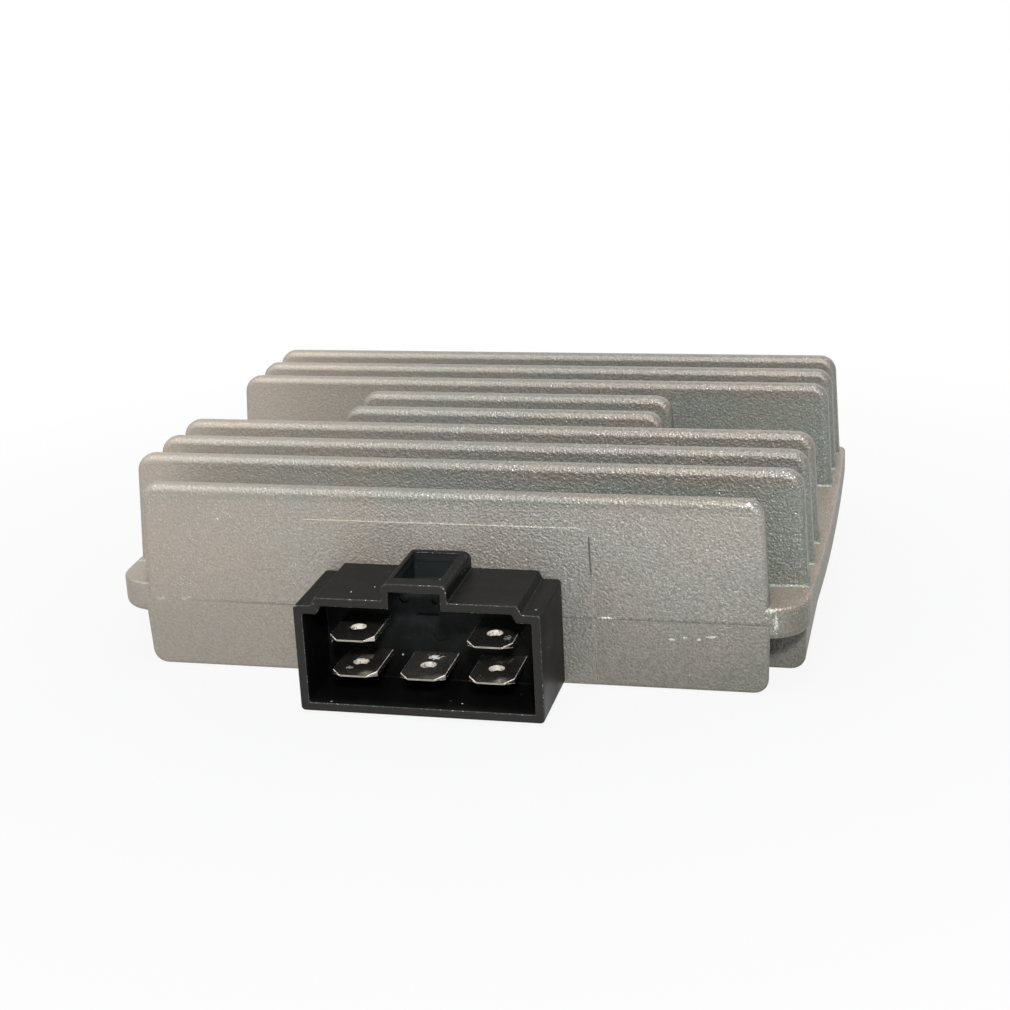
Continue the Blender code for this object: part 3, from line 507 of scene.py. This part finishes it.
def makeBlade(name, slot, row):
    b = blades
    x = connector["offset"] + slot * b["pitch"]
    z, half, thick = b[row], b["width"] / 2, b["thick"] / 2
    tip = faceY - connector["reach"] + b["recess"]
    root = faceY - connector["reach"] + connector["socketDepth"] + b["seat"]
    blade = cubeBetween(name + "_blade", (x - half, tip, z - thick), (x + half, root, z + thick))
    startEdit(blade)
    # the nose's corners are cut off and its thickness is drawn down to the tip
    roundOff(blade, lambda e: runs(e, "z") and middle(e).y < tip + 0.1, b["nose"], 1)
    sliceAt(blade, lambda f: True, "y", (tip + b["taper"],))
    choose(blade, "faces", lambda f: f.normal.y < -0.9)
    bpy.ops.transform.resize(value=(1, 1, b["tipShare"]), center_override=(x * mm, 0, z * mm))
    roundOff(blade, lambda e: [abs(f.normal.z) > 0.9 for f in e.link_faces].count(True) == 1
             and abs(middle(e).x - x) > 0.1 and middle(e).y < root - 0.1, b["burr"], 3)
    endEdit()
    hole = rodAt("hole", (x, tip + b["holeBack"], z), b["hole"] / 2, 3, 40)
    combine(blade, hole, "DIFFERENCE")
    startEdit(blade)

    def onHole(edge):
        spots = [Vector((v.co.x / mm - x, v.co.y / mm - tip - b["holeBack"])).length for v in edge.verts]
        return all(abs(spot - b["hole"] / 2) < 0.02 for spot in spots) and not runs(edge, "z")

    roundOff(blade, onHole, b["holeEdge"], 2)
    endEdit()
    combine(blade, makeTail(name + "_tail", slot, row, 0.0))
    blade.name = name + "_finished"
    blade.data.name = blade.name
    smoothOff(blade)
    return blade


bladePieces = {name: makeBlade(name, slot, row) for name, (slot, row) in terminals.items()}
print("terminals: %d" % len(bladePieces))


# Materials

def hexColour(text):
    # sRGB hex to the linear values that the shaders take
    channels = [int(text[i:i + 2], 16) / 255 for i in (1, 3, 5)]
    return [c / 12.92 if c <= 0.04045 else ((c + 0.055) / 1.055) ** 2.4 for c in channels] + [1.0]


def addNode(tree, kind, inputs=None, **settings):
    node = tree.nodes.new(kind)
    for name, value in settings.items():
        setattr(node, name, value)
    for name, value in (inputs or {}).items():
        if isinstance(value, bpy.types.NodeSocket):
            tree.links.new(value, node.inputs[name])
        else:
            node.inputs[name].default_value = value
    return node


def newMaterial(name, **shader):
    material = bpy.data.materials.new(name)
    material.use_nodes = True
    tree = material.node_tree
    principled = tree.nodes["Principled BSDF"]
    for socket, value in shader.items():
        principled.inputs[socket.replace("_", " ")].default_value = value
    spot = addNode(tree, "ShaderNodeTexCoord").outputs["Object"]
    return material, tree, principled, spot


def mixColour(tree, factor, first, second):
    node = addNode(tree, "ShaderNodeMix", data_type="RGBA")
    for socket, value in ((node.inputs[0], factor), (node.inputs[6], first), (node.inputs[7], second)):
        if isinstance(value, bpy.types.NodeSocket):
            tree.links.new(value, socket)
        else:
            socket.default_value = value
    return node.outputs[2]


def tint(tree, share, base, text):
    # lays a hex colour over the base
    return mixColour(tree, share, base, hexColour(text))


def ramp(tree, value, low, high, start=0.0, end=1.0):
    # clamped straight ramp from start to end as the value goes from low to high
    return addNode(tree, "ShaderNodeMapRange", {"Value": value, "From Min": low, "From Max": high,
                                                "To Min": start, "To Max": end}).outputs["Result"]


def calculate(tree, operation, first, second):
    return addNode(tree, "ShaderNodeMath", {0: first, 1: second}, operation=operation).outputs[0]


def product(tree, first, *others):
    for other in others:
        first = calculate(tree, "MULTIPLY", first, other)
    return first


def awayFrom(tree, value, place):
    # how far a value lies from a place, either way
    return calculate(tree, "ABSOLUTE", calculate(tree, "SUBTRACT", value, place), 0.0)


def placeOf(tree, spot):
    # place across, depth behind the plate's face, and height, in millimetres
    place = addNode(tree, "ShaderNodeVectorMath", {0: spot, "Scale": 1 / mm}, operation="SCALE")
    across, along, height = addNode(tree, "ShaderNodeSeparateXYZ", {0: place.outputs[0]}).outputs
    return across, calculate(tree, "SUBTRACT", along, faceY), height


def noiseAt(tree, spot, size, detail=2.0):
    # smooth noise whose features are about this many millimetres across
    return addNode(tree, "ShaderNodeTexNoise", {"Vector": spot, "Scale": 1 / (size * mm),
                                                "Detail": detail}).outputs["Fac"]


def specks(tree, spot, size, share):
    # sparse round dots: this share of the cells shows one, each with a brightness of its own
    cells = addNode(tree, "ShaderNodeTexVoronoi", {"Vector": spot, "Scale": 1 / (size * mm)})
    cell = addNode(tree, "ShaderNodeSeparateColor", {0: cells.outputs["Color"]})
    chosen = ramp(tree, cell.outputs[0], 1 - share, 1.0)
    return product(tree, chosen, ramp(tree, cells.outputs["Distance"], 0.2, 0.5, 1.0, 0.0))


def markAt(tree, spot, centre, reach, breakage):
    # a small mark inside an ellipsoid, broken up by fine noise
    away = addNode(tree, "ShaderNodeVectorMath", {0: spot, 1: Vector(centre) * mm}, operation="SUBTRACT")
    away = addNode(tree, "ShaderNodeVectorMath", {0: away.outputs[0], 1: Vector(reach) * mm},
                   operation="DIVIDE")
    distance = addNode(tree, "ShaderNodeVectorMath", {0: away.outputs[0]}, operation="LENGTH")
    edge = calculate(tree, "ADD", distance.outputs["Value"],
                     ramp(tree, noiseAt(tree, spot, breakage), 0.3, 0.7, -0.1, 0.9))
    return ramp(tree, edge, 0.75, 1.05, 1.0, 0.0)


def bumpUp(tree, shader, height, strength, distance):
    # relief of so many millimetres
    bump = addNode(tree, "ShaderNodeBump", {"Height": height, "Strength": strength,
                                            "Distance": distance * mm})
    tree.links.new(bump.outputs["Normal"], shader.inputs["Normal"])


castLook = {
    # tints of the face, lighter on the left as painted light, darker and greener between the fins as painted
    # shade, and along the fin tops darker and warmer as painted shade damping their highlight, with a slow
    # drift over all
    "left": "#a89e93", "front": "#9c9992", "groove": "#767c74", "ridge": "#78726b",
    "warm": "#a5988a", "cool": "#909490", "drift": 11.0, "driftShare": 0.22,
    "faceDepth": (0.9, 2.2), "faceHeight": (25.4, 26.8), "ridgeHeight": (26.3, 27.4),
    # painted shade darkens it towards the resting face, more to the right; the flange's right end is browner,
    # and barer on top
    "low": "#57564b", "floorShadeShare": 0.62, "floorShadeHeight": 20.0, "lug": "#7d786d", "lugShare": 0.45,
    "bare": "#9a8a7d", "bareShare": 0.6,
    # grain with painted shade in its pits, and white glints painted in as a painted highlight, in loose
    # crowds
    "grain": 0.42, "grit": 0.3, "gritShare": 0.8, "relief": 0.12, "pitShade": "#2f302d", "pitShadeShare": 0.35,
    "glint": "#ffffff", "glintShare": 0.7, "flake": 0.22, "flakeShare": 0.36, "crowd": 5.0,
    "metal": 0.4, "roughness": 0.46, "glintRoughness": 0.3,
    # painted shade and painted highlight as fine lines along the parting and the pad's edges
    "creaseShade": "#3b3c38", "paleHighlight": "#cbc3b7", "partingShare": 0.38, "edgeShare": 0.6,
    "shadowEdge": (15.6, 17.0), "highlightEdge": (14.0, 15.0), "cornerHeight": (21.6, 22.0),
    # marks seen on the face and on the right lug, with one painted highlight: middle and reach in
    # millimetres, breakage, tint
    "scuff": "#dfe3dc", "stain": "#a9b096", "markShare": 0.75,
    "marks": (((45.9, faceY, 10.4), (0.45, 1.8, 2.1), 0.22, "scuff"),
              ((45.3, faceY, 12.1), (1.1, 1.4, 0.4), 0.22, "scuff"),
              ((31.9, faceY, 7.55), (0.6, 0.8, 0.3), 0.2, "scuff"),
              ((33.6, faceY, 7.9), (0.6, 0.8, 0.2), 0.2, "scuff"),
              ((35.5, faceY, 7.7), (0.5, 0.8, 0.3), 0.2, "scuff"),
              ((37.3, faceY, 8.15), (1.0, 0.8, 0.3), 0.2, "scuff"),
              ((22.9, faceY, 10.3), (1.8, 0.8, 0.22), 0.2, "scuff"),
              ((34.3, faceY, 2.3), (0.35, 0.8, 0.28), 0.3, "scuff"),
              ((-32.8, faceY, 22.6), (0.4, 0.8, 0.4), 0.3, "scuff"),
              ((-42.6, faceY, 10.3), (1.0, 0.8, 0.5), 0.5, "stain"),
              ((-38.9, faceY, 10.5), (1.3, 0.8, 0.5), 0.5, "stain"),
              # painted highlight: a white glint on the plate's upper right corner
              ((42.3, faceY + 0.6, 27.0), (0.55, 1.6, 0.3), 0.2, "glint")),
}


def castTints(tree, spot, across, height, front):
    k = castLook
    end, top = casting["frontLength"] / 2, casting["baseTop"]
    # painted light: lighter towards the left end
    litFromLeft = ramp(tree, across, -45, 20, 1.0, 0.0)
    base = mixColour(tree, litFromLeft, hexColour(k["front"]), hexColour(k["left"]))
    # painted shade: away from the face and the left end the groove tint darkens it, with a greener tint
    inner = calculate(tree, "SUBTRACT", 1.0, calculate(tree, "MAXIMUM", front, litFromLeft))
    base = tint(tree, inner, base, k["groove"])
    # painted shade: the fin tops darker and warmer, damping their highlight
    base = tint(tree, product(tree, ramp(tree, height, *k["ridgeHeight"]), inner), base, k["ridge"])
    # slow drift between a warm and a cool grey
    drift = ramp(tree, noiseAt(tree, spot, k["drift"], 4.0), 0.38, 0.62)
    drift = mixColour(tree, drift, hexColour(k["cool"]), hexColour(k["warm"]))
    base = mixColour(tree, k["driftShare"], base, drift)
    # painted shade: darker towards the resting face, more so to the right
    dull = product(tree, ramp(tree, height, 0.0, k["floorShadeHeight"], k["floorShadeShare"], 0.0),
                   ramp(tree, across, -30, 46, 0.45, 1.0))
    base = tint(tree, dull, base, k["low"])
    lug = product(tree, ramp(tree, across, end, end + 0.4),
                  ramp(tree, height, top, top + 0.1, k["lugShare"], 0.0))
    base = tint(tree, lug, base, k["lug"])
    bare = product(tree, ramp(tree, across, end - 1.7, end + 0.8), ramp(tree, height, top - 0.9, top - 0.2),
                   ramp(tree, height, top + 0.02, top + 0.12, k["bareShare"], 0.0))
    return tint(tree, bare, base, k["bare"])


def paintedLines(tree, base, across, height, front):
    # painted shade: a thin dark line under the step at the die's parting
    k = castLook
    c = casting
    end = c["frontLength"] / 2
    near = ramp(tree, awayFrom(tree, height, c["parting"] - 0.1), 0.06, 0.16, k["partingShare"], 0.0)
    partingShade = product(tree, near, front, ramp(tree, across, -42, -25),
                   ramp(tree, awayFrom(tree, across, 0.0), end - 0.2, end - 0.05, 1.0, 0.0))
    base = tint(tree, partingShade, base, k["creaseShade"])
    # the pad's edges: painted shadow darkens the right one in its upper half, and a painted highlight makes
    # the rest a pale line
    lean = calculate(tree, "MULTIPLY", height, c["padTaper"] / (c["padTop"] - c["padBottom"]))
    half = c["padWidth"] / 2 + 0.04
    rightEdge = awayFrom(tree, calculate(tree, "ADD", across, lean), c["padOffset"] + half)
    leftEdge = awayFrom(tree, calculate(tree, "SUBTRACT", across, lean), c["padOffset"] - half)
    rightEdge, leftEdge = [product(tree, ramp(tree, edge, 0.06, 0.15, k["edgeShare"], 0.0), front)
                           for edge in (rightEdge, leftEdge)]
    belowCorner = ramp(tree, height, *k["cornerHeight"], 1.0, 0.0)
    edgeShadow = product(tree, rightEdge, ramp(tree, height, *k["shadowEdge"]), belowCorner)
    base = tint(tree, edgeShadow, base, k["creaseShade"])
    lower = product(tree, rightEdge, ramp(tree, height, *k["highlightEdge"], 0.35, 0.0))
    far = product(tree, leftEdge, ramp(tree, height, 10, 20, 0.25, 0.7), belowCorner)
    return tint(tree, calculate(tree, "MAXIMUM", lower, far), base, k["paleHighlight"])


def makeCastAluminium():
    # ADC12 die-casting alloy, shot blasted: warm grey satin with a close orange-peel grain whose glitter is
    # painted in as white specks, lighter on the left as painted light, and darker and greener down between
    # the fins as painted shade
    k = castLook
    material, tree, shader, spot = newMaterial("die-cast aluminium, shot blasted", Metallic=k["metal"])
    across, depth, height = placeOf(tree, spot)
    front = product(tree, ramp(tree, depth, *k["faceDepth"], 1.0, 0.0),
                    ramp(tree, height, *k["faceHeight"], 1.0, 0.0))
    base = castTints(tree, spot, across, height, front)
    # close hammered grain: rounded pits with finer grit, strongest at the front, up and to the right
    grit = addNode(tree, "ShaderNodeTexVoronoi", {"Vector": spot, "Scale": 1 / (k["grit"] * mm)},
                   feature="SMOOTH_F1").outputs["Distance"]
    relief = calculate(tree, "ADD", noiseAt(tree, spot, k["grain"], 3.0), product(tree, grit, k["gritShare"]))
    coarse = ramp(tree, calculate(tree, "ADD", across, height), -40, 50, 0.55, 1.0)
    strength = product(tree, coarse, ramp(tree, depth, 0.0, castHigh.y - faceY, 1.0, 0.5))
    # painted shade in the grain's pits, more to the right
    pitShading = product(tree, ramp(tree, relief, 0.55, 1.0, k["pitShadeShare"], 0.0),
                   ramp(tree, across, -45, 10, 0.35, 1.0))
    base = tint(tree, pitShading, base, k["pitShade"])
    # painted highlight: white glints painted into the colour, gathered in loose patches, few near the resting
    # face
    glint = product(tree, specks(tree, spot, k["flake"], k["flakeShare"]),
                    ramp(tree, noiseAt(tree, spot, k["crowd"]), 0.35, 0.65, 0.25, 1.0),
                    ramp(tree, height, 0.0, 16.0, 0.15, 1.0), strength)
    base = tint(tree, product(tree, glint, k["glintShare"]), base, k["glint"])
    base = paintedLines(tree, base, across, height, front)
    for centre, reach, breakage, colour in k["marks"]:
        mark = markAt(tree, spot, centre, reach, breakage)
        base = tint(tree, product(tree, mark, k["markShare"]), base, k[colour])
    tree.links.new(base, shader.inputs["Base Color"])
    rough = ramp(tree, glint, 0.0, 0.6, k["roughness"], k["glintRoughness"])
    tree.links.new(rough, shader.inputs["Roughness"])
    bumpUp(tree, shader, relief, strength, k["relief"])
    return material


plasticLook = {
    "dark": "#0b0c0d", "light": "#111110", "rim": "#2c2b29", "rimDepth": 0.25, "socketShade": "#050505",
    "socketShadeShare": 0.8, "back": "#202425", "edge": "#5f6366", "speck": "#c3cacc", "edgeGlint": 0.24,
    "stray": 0.3, "strayShare": 0.002, "specular": 0.08, "roughness": (0.34, 0.46), "relief": 0.03,
}


def socketTints(tree, spot, base, across, behind, height):
    # inside the socket: painted shade blackens the floor and sides; a painted sheen greys the back wall and
    # latch channel
    k = plasticLook
    c = connector
    aside = awayFrom(tree, across, c["offset"])
    side, roof, sill = c["width"] / 2 - c["wall"], c["top"] - c["wall"], c["bottom"] + c["wall"]
    inside = product(tree, ramp(tree, aside, side + 0.05, side + 0.15, 1.0, 0.0),
                     ramp(tree, height, roof + 0.01, roof + 0.05, 1.0, 0.0),
                     ramp(tree, height, sill - 0.05, sill - 0.01), ramp(tree, behind, 0.3, 2.0))
    # painted shade inside the socket
    base = tint(tree, product(tree, inside, k["socketShadeShare"]), base, k["socketShade"])
    # painted sheen on the socket's back wall
    back = product(tree, inside, ramp(tree, behind, c["socketDepth"] - 0.2, c["socketDepth"] - 0.1),
                   ramp(tree, height, 4, 13), ramp(tree, aside, 4, 12, 1.0, 0.3),
                   ramp(tree, noiseAt(tree, spot, 2.5, 3.0), 0.35, 0.65, 0.3, 1.0))
    base = tint(tree, back, base, k["back"])
    # painted light on the latch channel seen through the window
    side = c["latchWidth"] / 2 - c["latchWall"]
    channel = product(tree, ramp(tree, aside, side - 0.05, side + 0.05, 1.0, 0.0),
                      ramp(tree, height, roof - 0.05, roof + 0.01),
                      ramp(tree, height, c["latchTop"] - 0.3, c["latchTop"] - 0.2, 1.0, 0.0),
                      ramp(tree, behind, c["windowFront"] - 0.4, c["windowFront"] + 0.6))
    return tint(tree, channel, base, k["back"]), inside


def highlightedEdges(tree, across, behind, height):
    # the rounded edges of the rim and the window get a painted highlight: there the surface faces between
    # two of the axes
    c = connector
    facing = addNode(tree, "ShaderNodeTexCoord").outputs["Normal"]
    facing = addNode(tree, "ShaderNodeVectorMath", {0: facing}, operation="ABSOLUTE")
    facing = addNode(tree, "ShaderNodeSeparateXYZ", {0: facing.outputs[0]})
    most = calculate(tree, "MAXIMUM", facing.outputs["X"], facing.outputs["Y"])
    most = calculate(tree, "MAXIMUM", most, facing.outputs["Z"])
    side = c["latchWidth"] / 2 - c["latchWall"]
    window = product(tree, ramp(tree, height, c["latchTop"] - 0.3, c["latchTop"] - 0.15),
                     ramp(tree, awayFrom(tree, across, 0.0), side - 0.05, side + 0.05, 0.8, 0.0))
    rim = ramp(tree, behind, 0.35, 0.5, 1.0, 0.12)
    return product(tree, ramp(tree, most, 0.80, 0.89, 1.0, 0.0), calculate(tree, "MAXIMUM", rim, window))


def makeConnectorPlastic():
    # glass-filled PBT, moulded: near-black satin, a greyer rim, and a painted highlight with bright painted
    # glints along its edges
    k = plasticLook
    material, tree, shader, spot = newMaterial("black PBT, moulded", Specular_IOR_Level=k["specular"])
    across, depth, height = placeOf(tree, spot)
    behind = calculate(tree, "ADD", depth, connector["reach"])
    broad = ramp(tree, noiseAt(tree, spot, 6.0), 0.3, 0.7)
    base = mixColour(tree, broad, hexColour(k["dark"]), hexColour(k["light"]))
    base, inside = socketTints(tree, spot, base, across, behind, height)
    base = tint(tree, ramp(tree, behind, 0.05, k["rimDepth"], 1.0, 0.0), base, k["rim"])
    edgeLight = product(tree, highlightedEdges(tree, across, behind, height),
                   calculate(tree, "SUBTRACT", 1.0, inside))
    broken = ramp(tree, noiseAt(tree, spot, 0.35, 3.0), 0.45, 0.6, 0.1, 0.55)
    # painted highlight along the rounded edges
    base = tint(tree, product(tree, edgeLight, broken), base, k["edge"])
    # painted glints: bright specks crowded on the edges; the stray ones are dust
    edgeGlint = product(tree, specks(tree, spot, k["edgeGlint"], 0.3), ramp(tree, edgeLight, 0.0, 1.0, 0.02, 1.0))
    stray = product(tree, specks(tree, spot, k["stray"], k["strayShare"]), 5.0)
    base = tint(tree, calculate(tree, "MAXIMUM", edgeGlint, stray), base, k["speck"])
    tree.links.new(base, shader.inputs["Base Color"])
    tree.links.new(ramp(tree, broad, 0.0, 1.0, *k["roughness"]), shader.inputs["Roughness"])
    bumpUp(tree, shader, noiseAt(tree, spot, 0.3, 3.0), 0.5, k["relief"])
    return material


lowerTop = blades["lowerRow"] + blades["thick"] / 2
upperTop = blades["upperRow"] + blades["thick"] / 2
tinLook = {
    # cut is a pale painted highlight for the burrs and the hole walls
    "light": "#cfccc4", "dull": "#b8b2a6", "cut": "#ece8de", "brass": "#d2a27a", "cutRoughness": 0.45,
    "metal": 0.98, "cutMetal": 0.2, "roughness": (0.14, 0.28), "lines": (0.12, 3.0), "relief": 0.01,
    # scuffs left by the plug's springs: place on the blades' tops, reach, breakage, tint
    "scuffs": (((0.1, faceY - 6.3, lowerTop), (1.5, 1.2, 0.5), 0.4, "#d6d8d4"),
               ((-9.4, faceY - 7.3, lowerTop), (1.6, 1.4, 0.5), 0.5, "#5d5048"),
               ((9.6, faceY - 6.0, lowerTop), (2.0, 1.6, 0.5), 0.5, "#54483f"),
               ((-10.7, faceY - 11.1, lowerTop), (0.8, 0.6, 0.5), 0.4, "#a9aaa4"),
               ((-10.2, faceY - 9.2, upperTop), (1.2, 0.7, 0.5), 0.35, "#8d8e88"),
               ((11.6, faceY - 10.6, upperTop), (0.8, 1.2, 0.5), 0.35, "#8d8e88")),
}


def cutMetal(tree, spot):
    # where a blade is cut or punched: its rounded burrs and the walls of its hole
    facing = addNode(tree, "ShaderNodeTexCoord").outputs["Normal"]
    slant = awayFrom(tree, addNode(tree, "ShaderNodeSeparateXYZ", {0: facing}).outputs["Z"], 0.0)
    cut = product(tree, ramp(tree, slant, 0.15, 0.3), ramp(tree, slant, 0.9, 0.96, 1.0, 0.0))
    flat = addNode(tree, "ShaderNodeVectorMath", {0: spot, 1: (1, 1, 0)}, operation="MULTIPLY").outputs[0]
    holeY = faceY - connector["reach"] + blades["recess"] + blades["holeBack"]
    radius = blades["hole"] / 2
    for slot in (-1, 0, 1):
        centre = Vector((connector["offset"] + slot * blades["pitch"], holeY, 0)) * mm
        away = addNode(tree, "ShaderNodeVectorMath", {0: flat, 1: centre}, operation="DISTANCE")
        wall = ramp(tree, away.outputs["Value"], (radius + 0.01) * mm, (radius + 0.09) * mm, 1.0, 0.0)
        cut = calculate(tree, "MAXIMUM", cut, wall)
    return product(tree, cut, ramp(tree, noiseAt(tree, spot, 0.4), 0.35, 0.55, 0.4, 1.0))


def makeTinPlate():
    # bright tin over stamped brass: a soft mirror with faint rolling lines along the blade, its
    # cut edges and punched walls rough and painted pale as a painted highlight, brass showing through here
    # and there
    k = tinLook
    material, tree, shader, spot = newMaterial("tin-plated brass, stamped")
    smudge = noiseAt(tree, spot, 1.5, 3.0)
    base = mixColour(tree, ramp(tree, smudge, 0.4, 0.7), hexColour(k["light"]), hexColour(k["dull"]))
    cut = cutMetal(tree, spot)
    brass = ramp(tree, noiseAt(tree, spot, 0.8), 0.52, 0.68, 0.0, 0.7)
    # painted highlight: burrs and hole walls painted pale, with brass showing through
    base = mixColour(tree, cut, base, mixColour(tree, brass, hexColour(k["cut"]), hexColour(k["brass"])))
    for centre, reach, breakage, colour in k["scuffs"]:
        mark = markAt(tree, spot, centre, reach, breakage)
        base = tint(tree, mark, base, colour)
        cut = calculate(tree, "MAXIMUM", cut, mark)
    tree.links.new(base, shader.inputs["Base Color"])
    tree.links.new(ramp(tree, cut, 0.0, 1.0, k["metal"], k["cutMetal"]), shader.inputs["Metallic"])
    rough = calculate(tree, "MAXIMUM", ramp(tree, smudge, 0.3, 0.7, *k["roughness"]),
                      product(tree, cut, k["cutRoughness"]))
    tree.links.new(rough, shader.inputs["Roughness"])
    apart, long = [size * mm for size in k["lines"]]
    lines = addNode(tree, "ShaderNodeMapping", {"Vector": spot, "Scale": (1 / apart, 1 / long, 1)})
    scratch = addNode(tree, "ShaderNodeTexNoise", {"Vector": lines.outputs[0], "Scale": 1.0, "Detail": 2.0})
    bumpUp(tree, shader, scratch.outputs["Fac"], 0.15, k["relief"])
    return material


def makeGrainy(name, dark, light, grainSize, roughness, bump):
    # plain moulded, printed or poured surface with a fine two-tone grain
    material, tree, shader, spot = newMaterial(name, Roughness=roughness)
    grain = noiseAt(tree, spot, grainSize, 3.0)
    base = mixColour(tree, ramp(tree, grain, 0.3, 0.7), hexColour(dark), hexColour(light))
    tree.links.new(base, shader.inputs["Base Color"])
    bumpUp(tree, shader, grain, bump, 0.05)
    return material


castAluminium = makeCastAluminium()
blackPlastic = makeConnectorPlastic()
tinPlate = makeTinPlate()
innerFinishes = {
    "circuit_board": makeGrainy("white solder resist on aluminium", "#c9ccc8", "#d8dad6", 0.8, 0.4, 0.1),
    "thermal_sheet": makeGrainy("grey silicone, calendered", "#6f7d88", "#83909a", 0.5, 0.75, 0.3),
    "potting_resin": makeGrainy("black epoxy, poured", "#0e0f10", "#17181a", 7.0, 0.22, 0.25),
    "filter_capacitor": makeGrainy("tantalum capacitor resin, moulded", "#b8822a", "#c9923a", 0.4, 0.45, 0.2),
    "thyristor": makeGrainy("epoxy package, transfer moulded", "#191a1b", "#222324", 0.3, 0.5, 0.3),
    "gate_resistor": makeGrainy("glazed alumina, fired", "#141414", "#1e1d1d", 0.3, 0.3, 0.1),
}
innerFinishes["rectifier_diode"] = innerFinishes["thyristor"]
innerFinishes["control_chip"] = innerFinishes["thyristor"]
innerFinishes["reference_zener"] = innerFinishes["thyristor"]


def dress(piece, material, node):
    piece.data.materials.clear()
    piece.data.materials.append(material)
    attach(piece, "root")
    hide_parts(node)


dress(heatSink, castAluminium, "heat_sink_casting")
dress(shroud, blackPlastic, "connector_shell")
for name, piece in bladePieces.items():
    dress(piece, tinPlate, name)
for name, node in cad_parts.items():
    for start, material in innerFinishes.items():
        if name.startswith(start):
            for place in node.material_slots:
                place.material = material
print("finishes set")


# Studio: pale floor, white background, soft lamps and the photograph's camera

studio = {
    "floorSize": 4.0, "worldDiffuse": 0.12, "worldGlossy": 0.7, "paper": "#97989a", "glow": 0.9,
    "glowFar": 1.0,
    "key": {"place": (0.19, -0.63, 0.46), "size": 0.06, "power": 5.8},
    "top": {"place": (0.05, -0.1, 0.9), "size": 0.5, "power": 5.6},
    "fill": {"place": (-0.5, -0.3, 0.6), "size": 0.7, "power": 1.9},
    "rear": {"place": (0.15, 0.75, 0.4), "size": 0.7, "power": 1.3},
    "camera": {"place": (68.71, -263.63, 106.49), "yaw": 14.302, "pitch": -18.502, "roll": -2.873,
               "lens": 66.52},
}


def makeFloor():
    bpy.ops.object.select_all(action="DESELECT")
    bpy.ops.mesh.primitive_plane_add(size=studio["floorSize"], location=(0, 0, -0.05 * mm))
    floor = bpy.context.object
    floor.name = "studio_floor"
    bpy.ops.object.transform_apply(location=True, rotation=True, scale=True)
    material = bpy.data.materials.new("white paper sweep")
    material.use_nodes = True
    tree = material.node_tree
    tree.nodes.clear()
    paper = addNode(tree, "ShaderNodeBsdfDiffuse", {"Color": hexColour(studio["paper"])})
    glow = addNode(tree, "ShaderNodeEmission", {"Color": (1, 1, 1, 1), "Strength": 1.0})
    path = addNode(tree, "ShaderNodeLightPath")
    seen = calculate(tree, "MAXIMUM", path.outputs["Is Camera Ray"], path.outputs["Is Glossy Ray"])
    # the paper takes the object's shadow near it and fades to pure white further out
    spot = addNode(tree, "ShaderNodeTexCoord").outputs["Object"]
    away = addNode(tree, "ShaderNodeVectorMath", {0: spot}, operation="LENGTH").outputs["Value"]
    share = calculate(tree, "MULTIPLY", seen, ramp(tree, away, 0.05, 0.16, studio["glow"], studio["glowFar"]))
    both = addNode(tree, "ShaderNodeMixShader", {0: share, 1: paper.outputs[0], 2: glow.outputs[0]})
    addNode(tree, "ShaderNodeOutputMaterial", {"Surface": both.outputs[0]})
    floor.data.materials.append(material)


def makeWorld():
    world = bpy.data.worlds.new("white studio")
    bpy.context.scene.world = world
    world.use_nodes = True
    tree = world.node_tree
    tree.nodes.clear()
    # pure white where it is seen straight, softer where it lights or is mirrored
    path = addNode(tree, "ShaderNodeLightPath")
    seen = calculate(tree, "MAXIMUM", path.outputs["Is Camera Ray"], path.outputs["Is Transmission Ray"])
    soft = ramp(tree, path.outputs["Is Glossy Ray"], 0.0, 1.0, studio["worldDiffuse"], studio["worldGlossy"])
    strength = calculate(tree, "MAXIMUM", seen, soft)
    light = addNode(tree, "ShaderNodeBackground", {"Color": (1, 1, 1, 1), "Strength": strength})
    addNode(tree, "ShaderNodeOutputWorld", {"Surface": light.outputs[0]})


def makeLamp(name, place, size, power):
    bpy.ops.object.light_add(type="AREA", location=place)
    lamp = bpy.context.object
    lamp.name = name
    lamp.data.size = size
    lamp.data.energy = power
    lamp.rotation_euler = (-Vector(place)).to_track_quat("-Z", "Y").to_euler()


def makeCamera():
    c = studio["camera"]
    yaw, pitch, roll = [math.radians(c[name]) for name in ("yaw", "pitch", "roll")]
    ahead = Vector((-math.sin(yaw) * math.cos(pitch), math.cos(yaw) * math.cos(pitch), math.sin(pitch)))
    right = Vector((math.cos(yaw), math.sin(yaw), 0))
    up = right.cross(ahead)
    across = math.cos(roll) * right + math.sin(roll) * up
    above = math.cos(roll) * up - math.sin(roll) * right
    matrix = Matrix((across, above, -ahead)).transposed().to_4x4()
    matrix.translation = Vector(c["place"]) * mm
    bpy.ops.object.camera_add()
    camera = bpy.context.object
    camera.name = "photograph_camera"
    camera.matrix_world = matrix
    camera.data.lens = c["lens"]
    camera.data.sensor_width = 36
    camera.data.clip_start = 0.01
    bpy.context.scene.camera = camera


makeFloor()
makeWorld()
for name in ("key", "top", "fill", "rear"):
    makeLamp(name, **studio[name])
makeCamera()
bpy.context.scene.view_settings.view_transform = "Standard"
print("studio set")
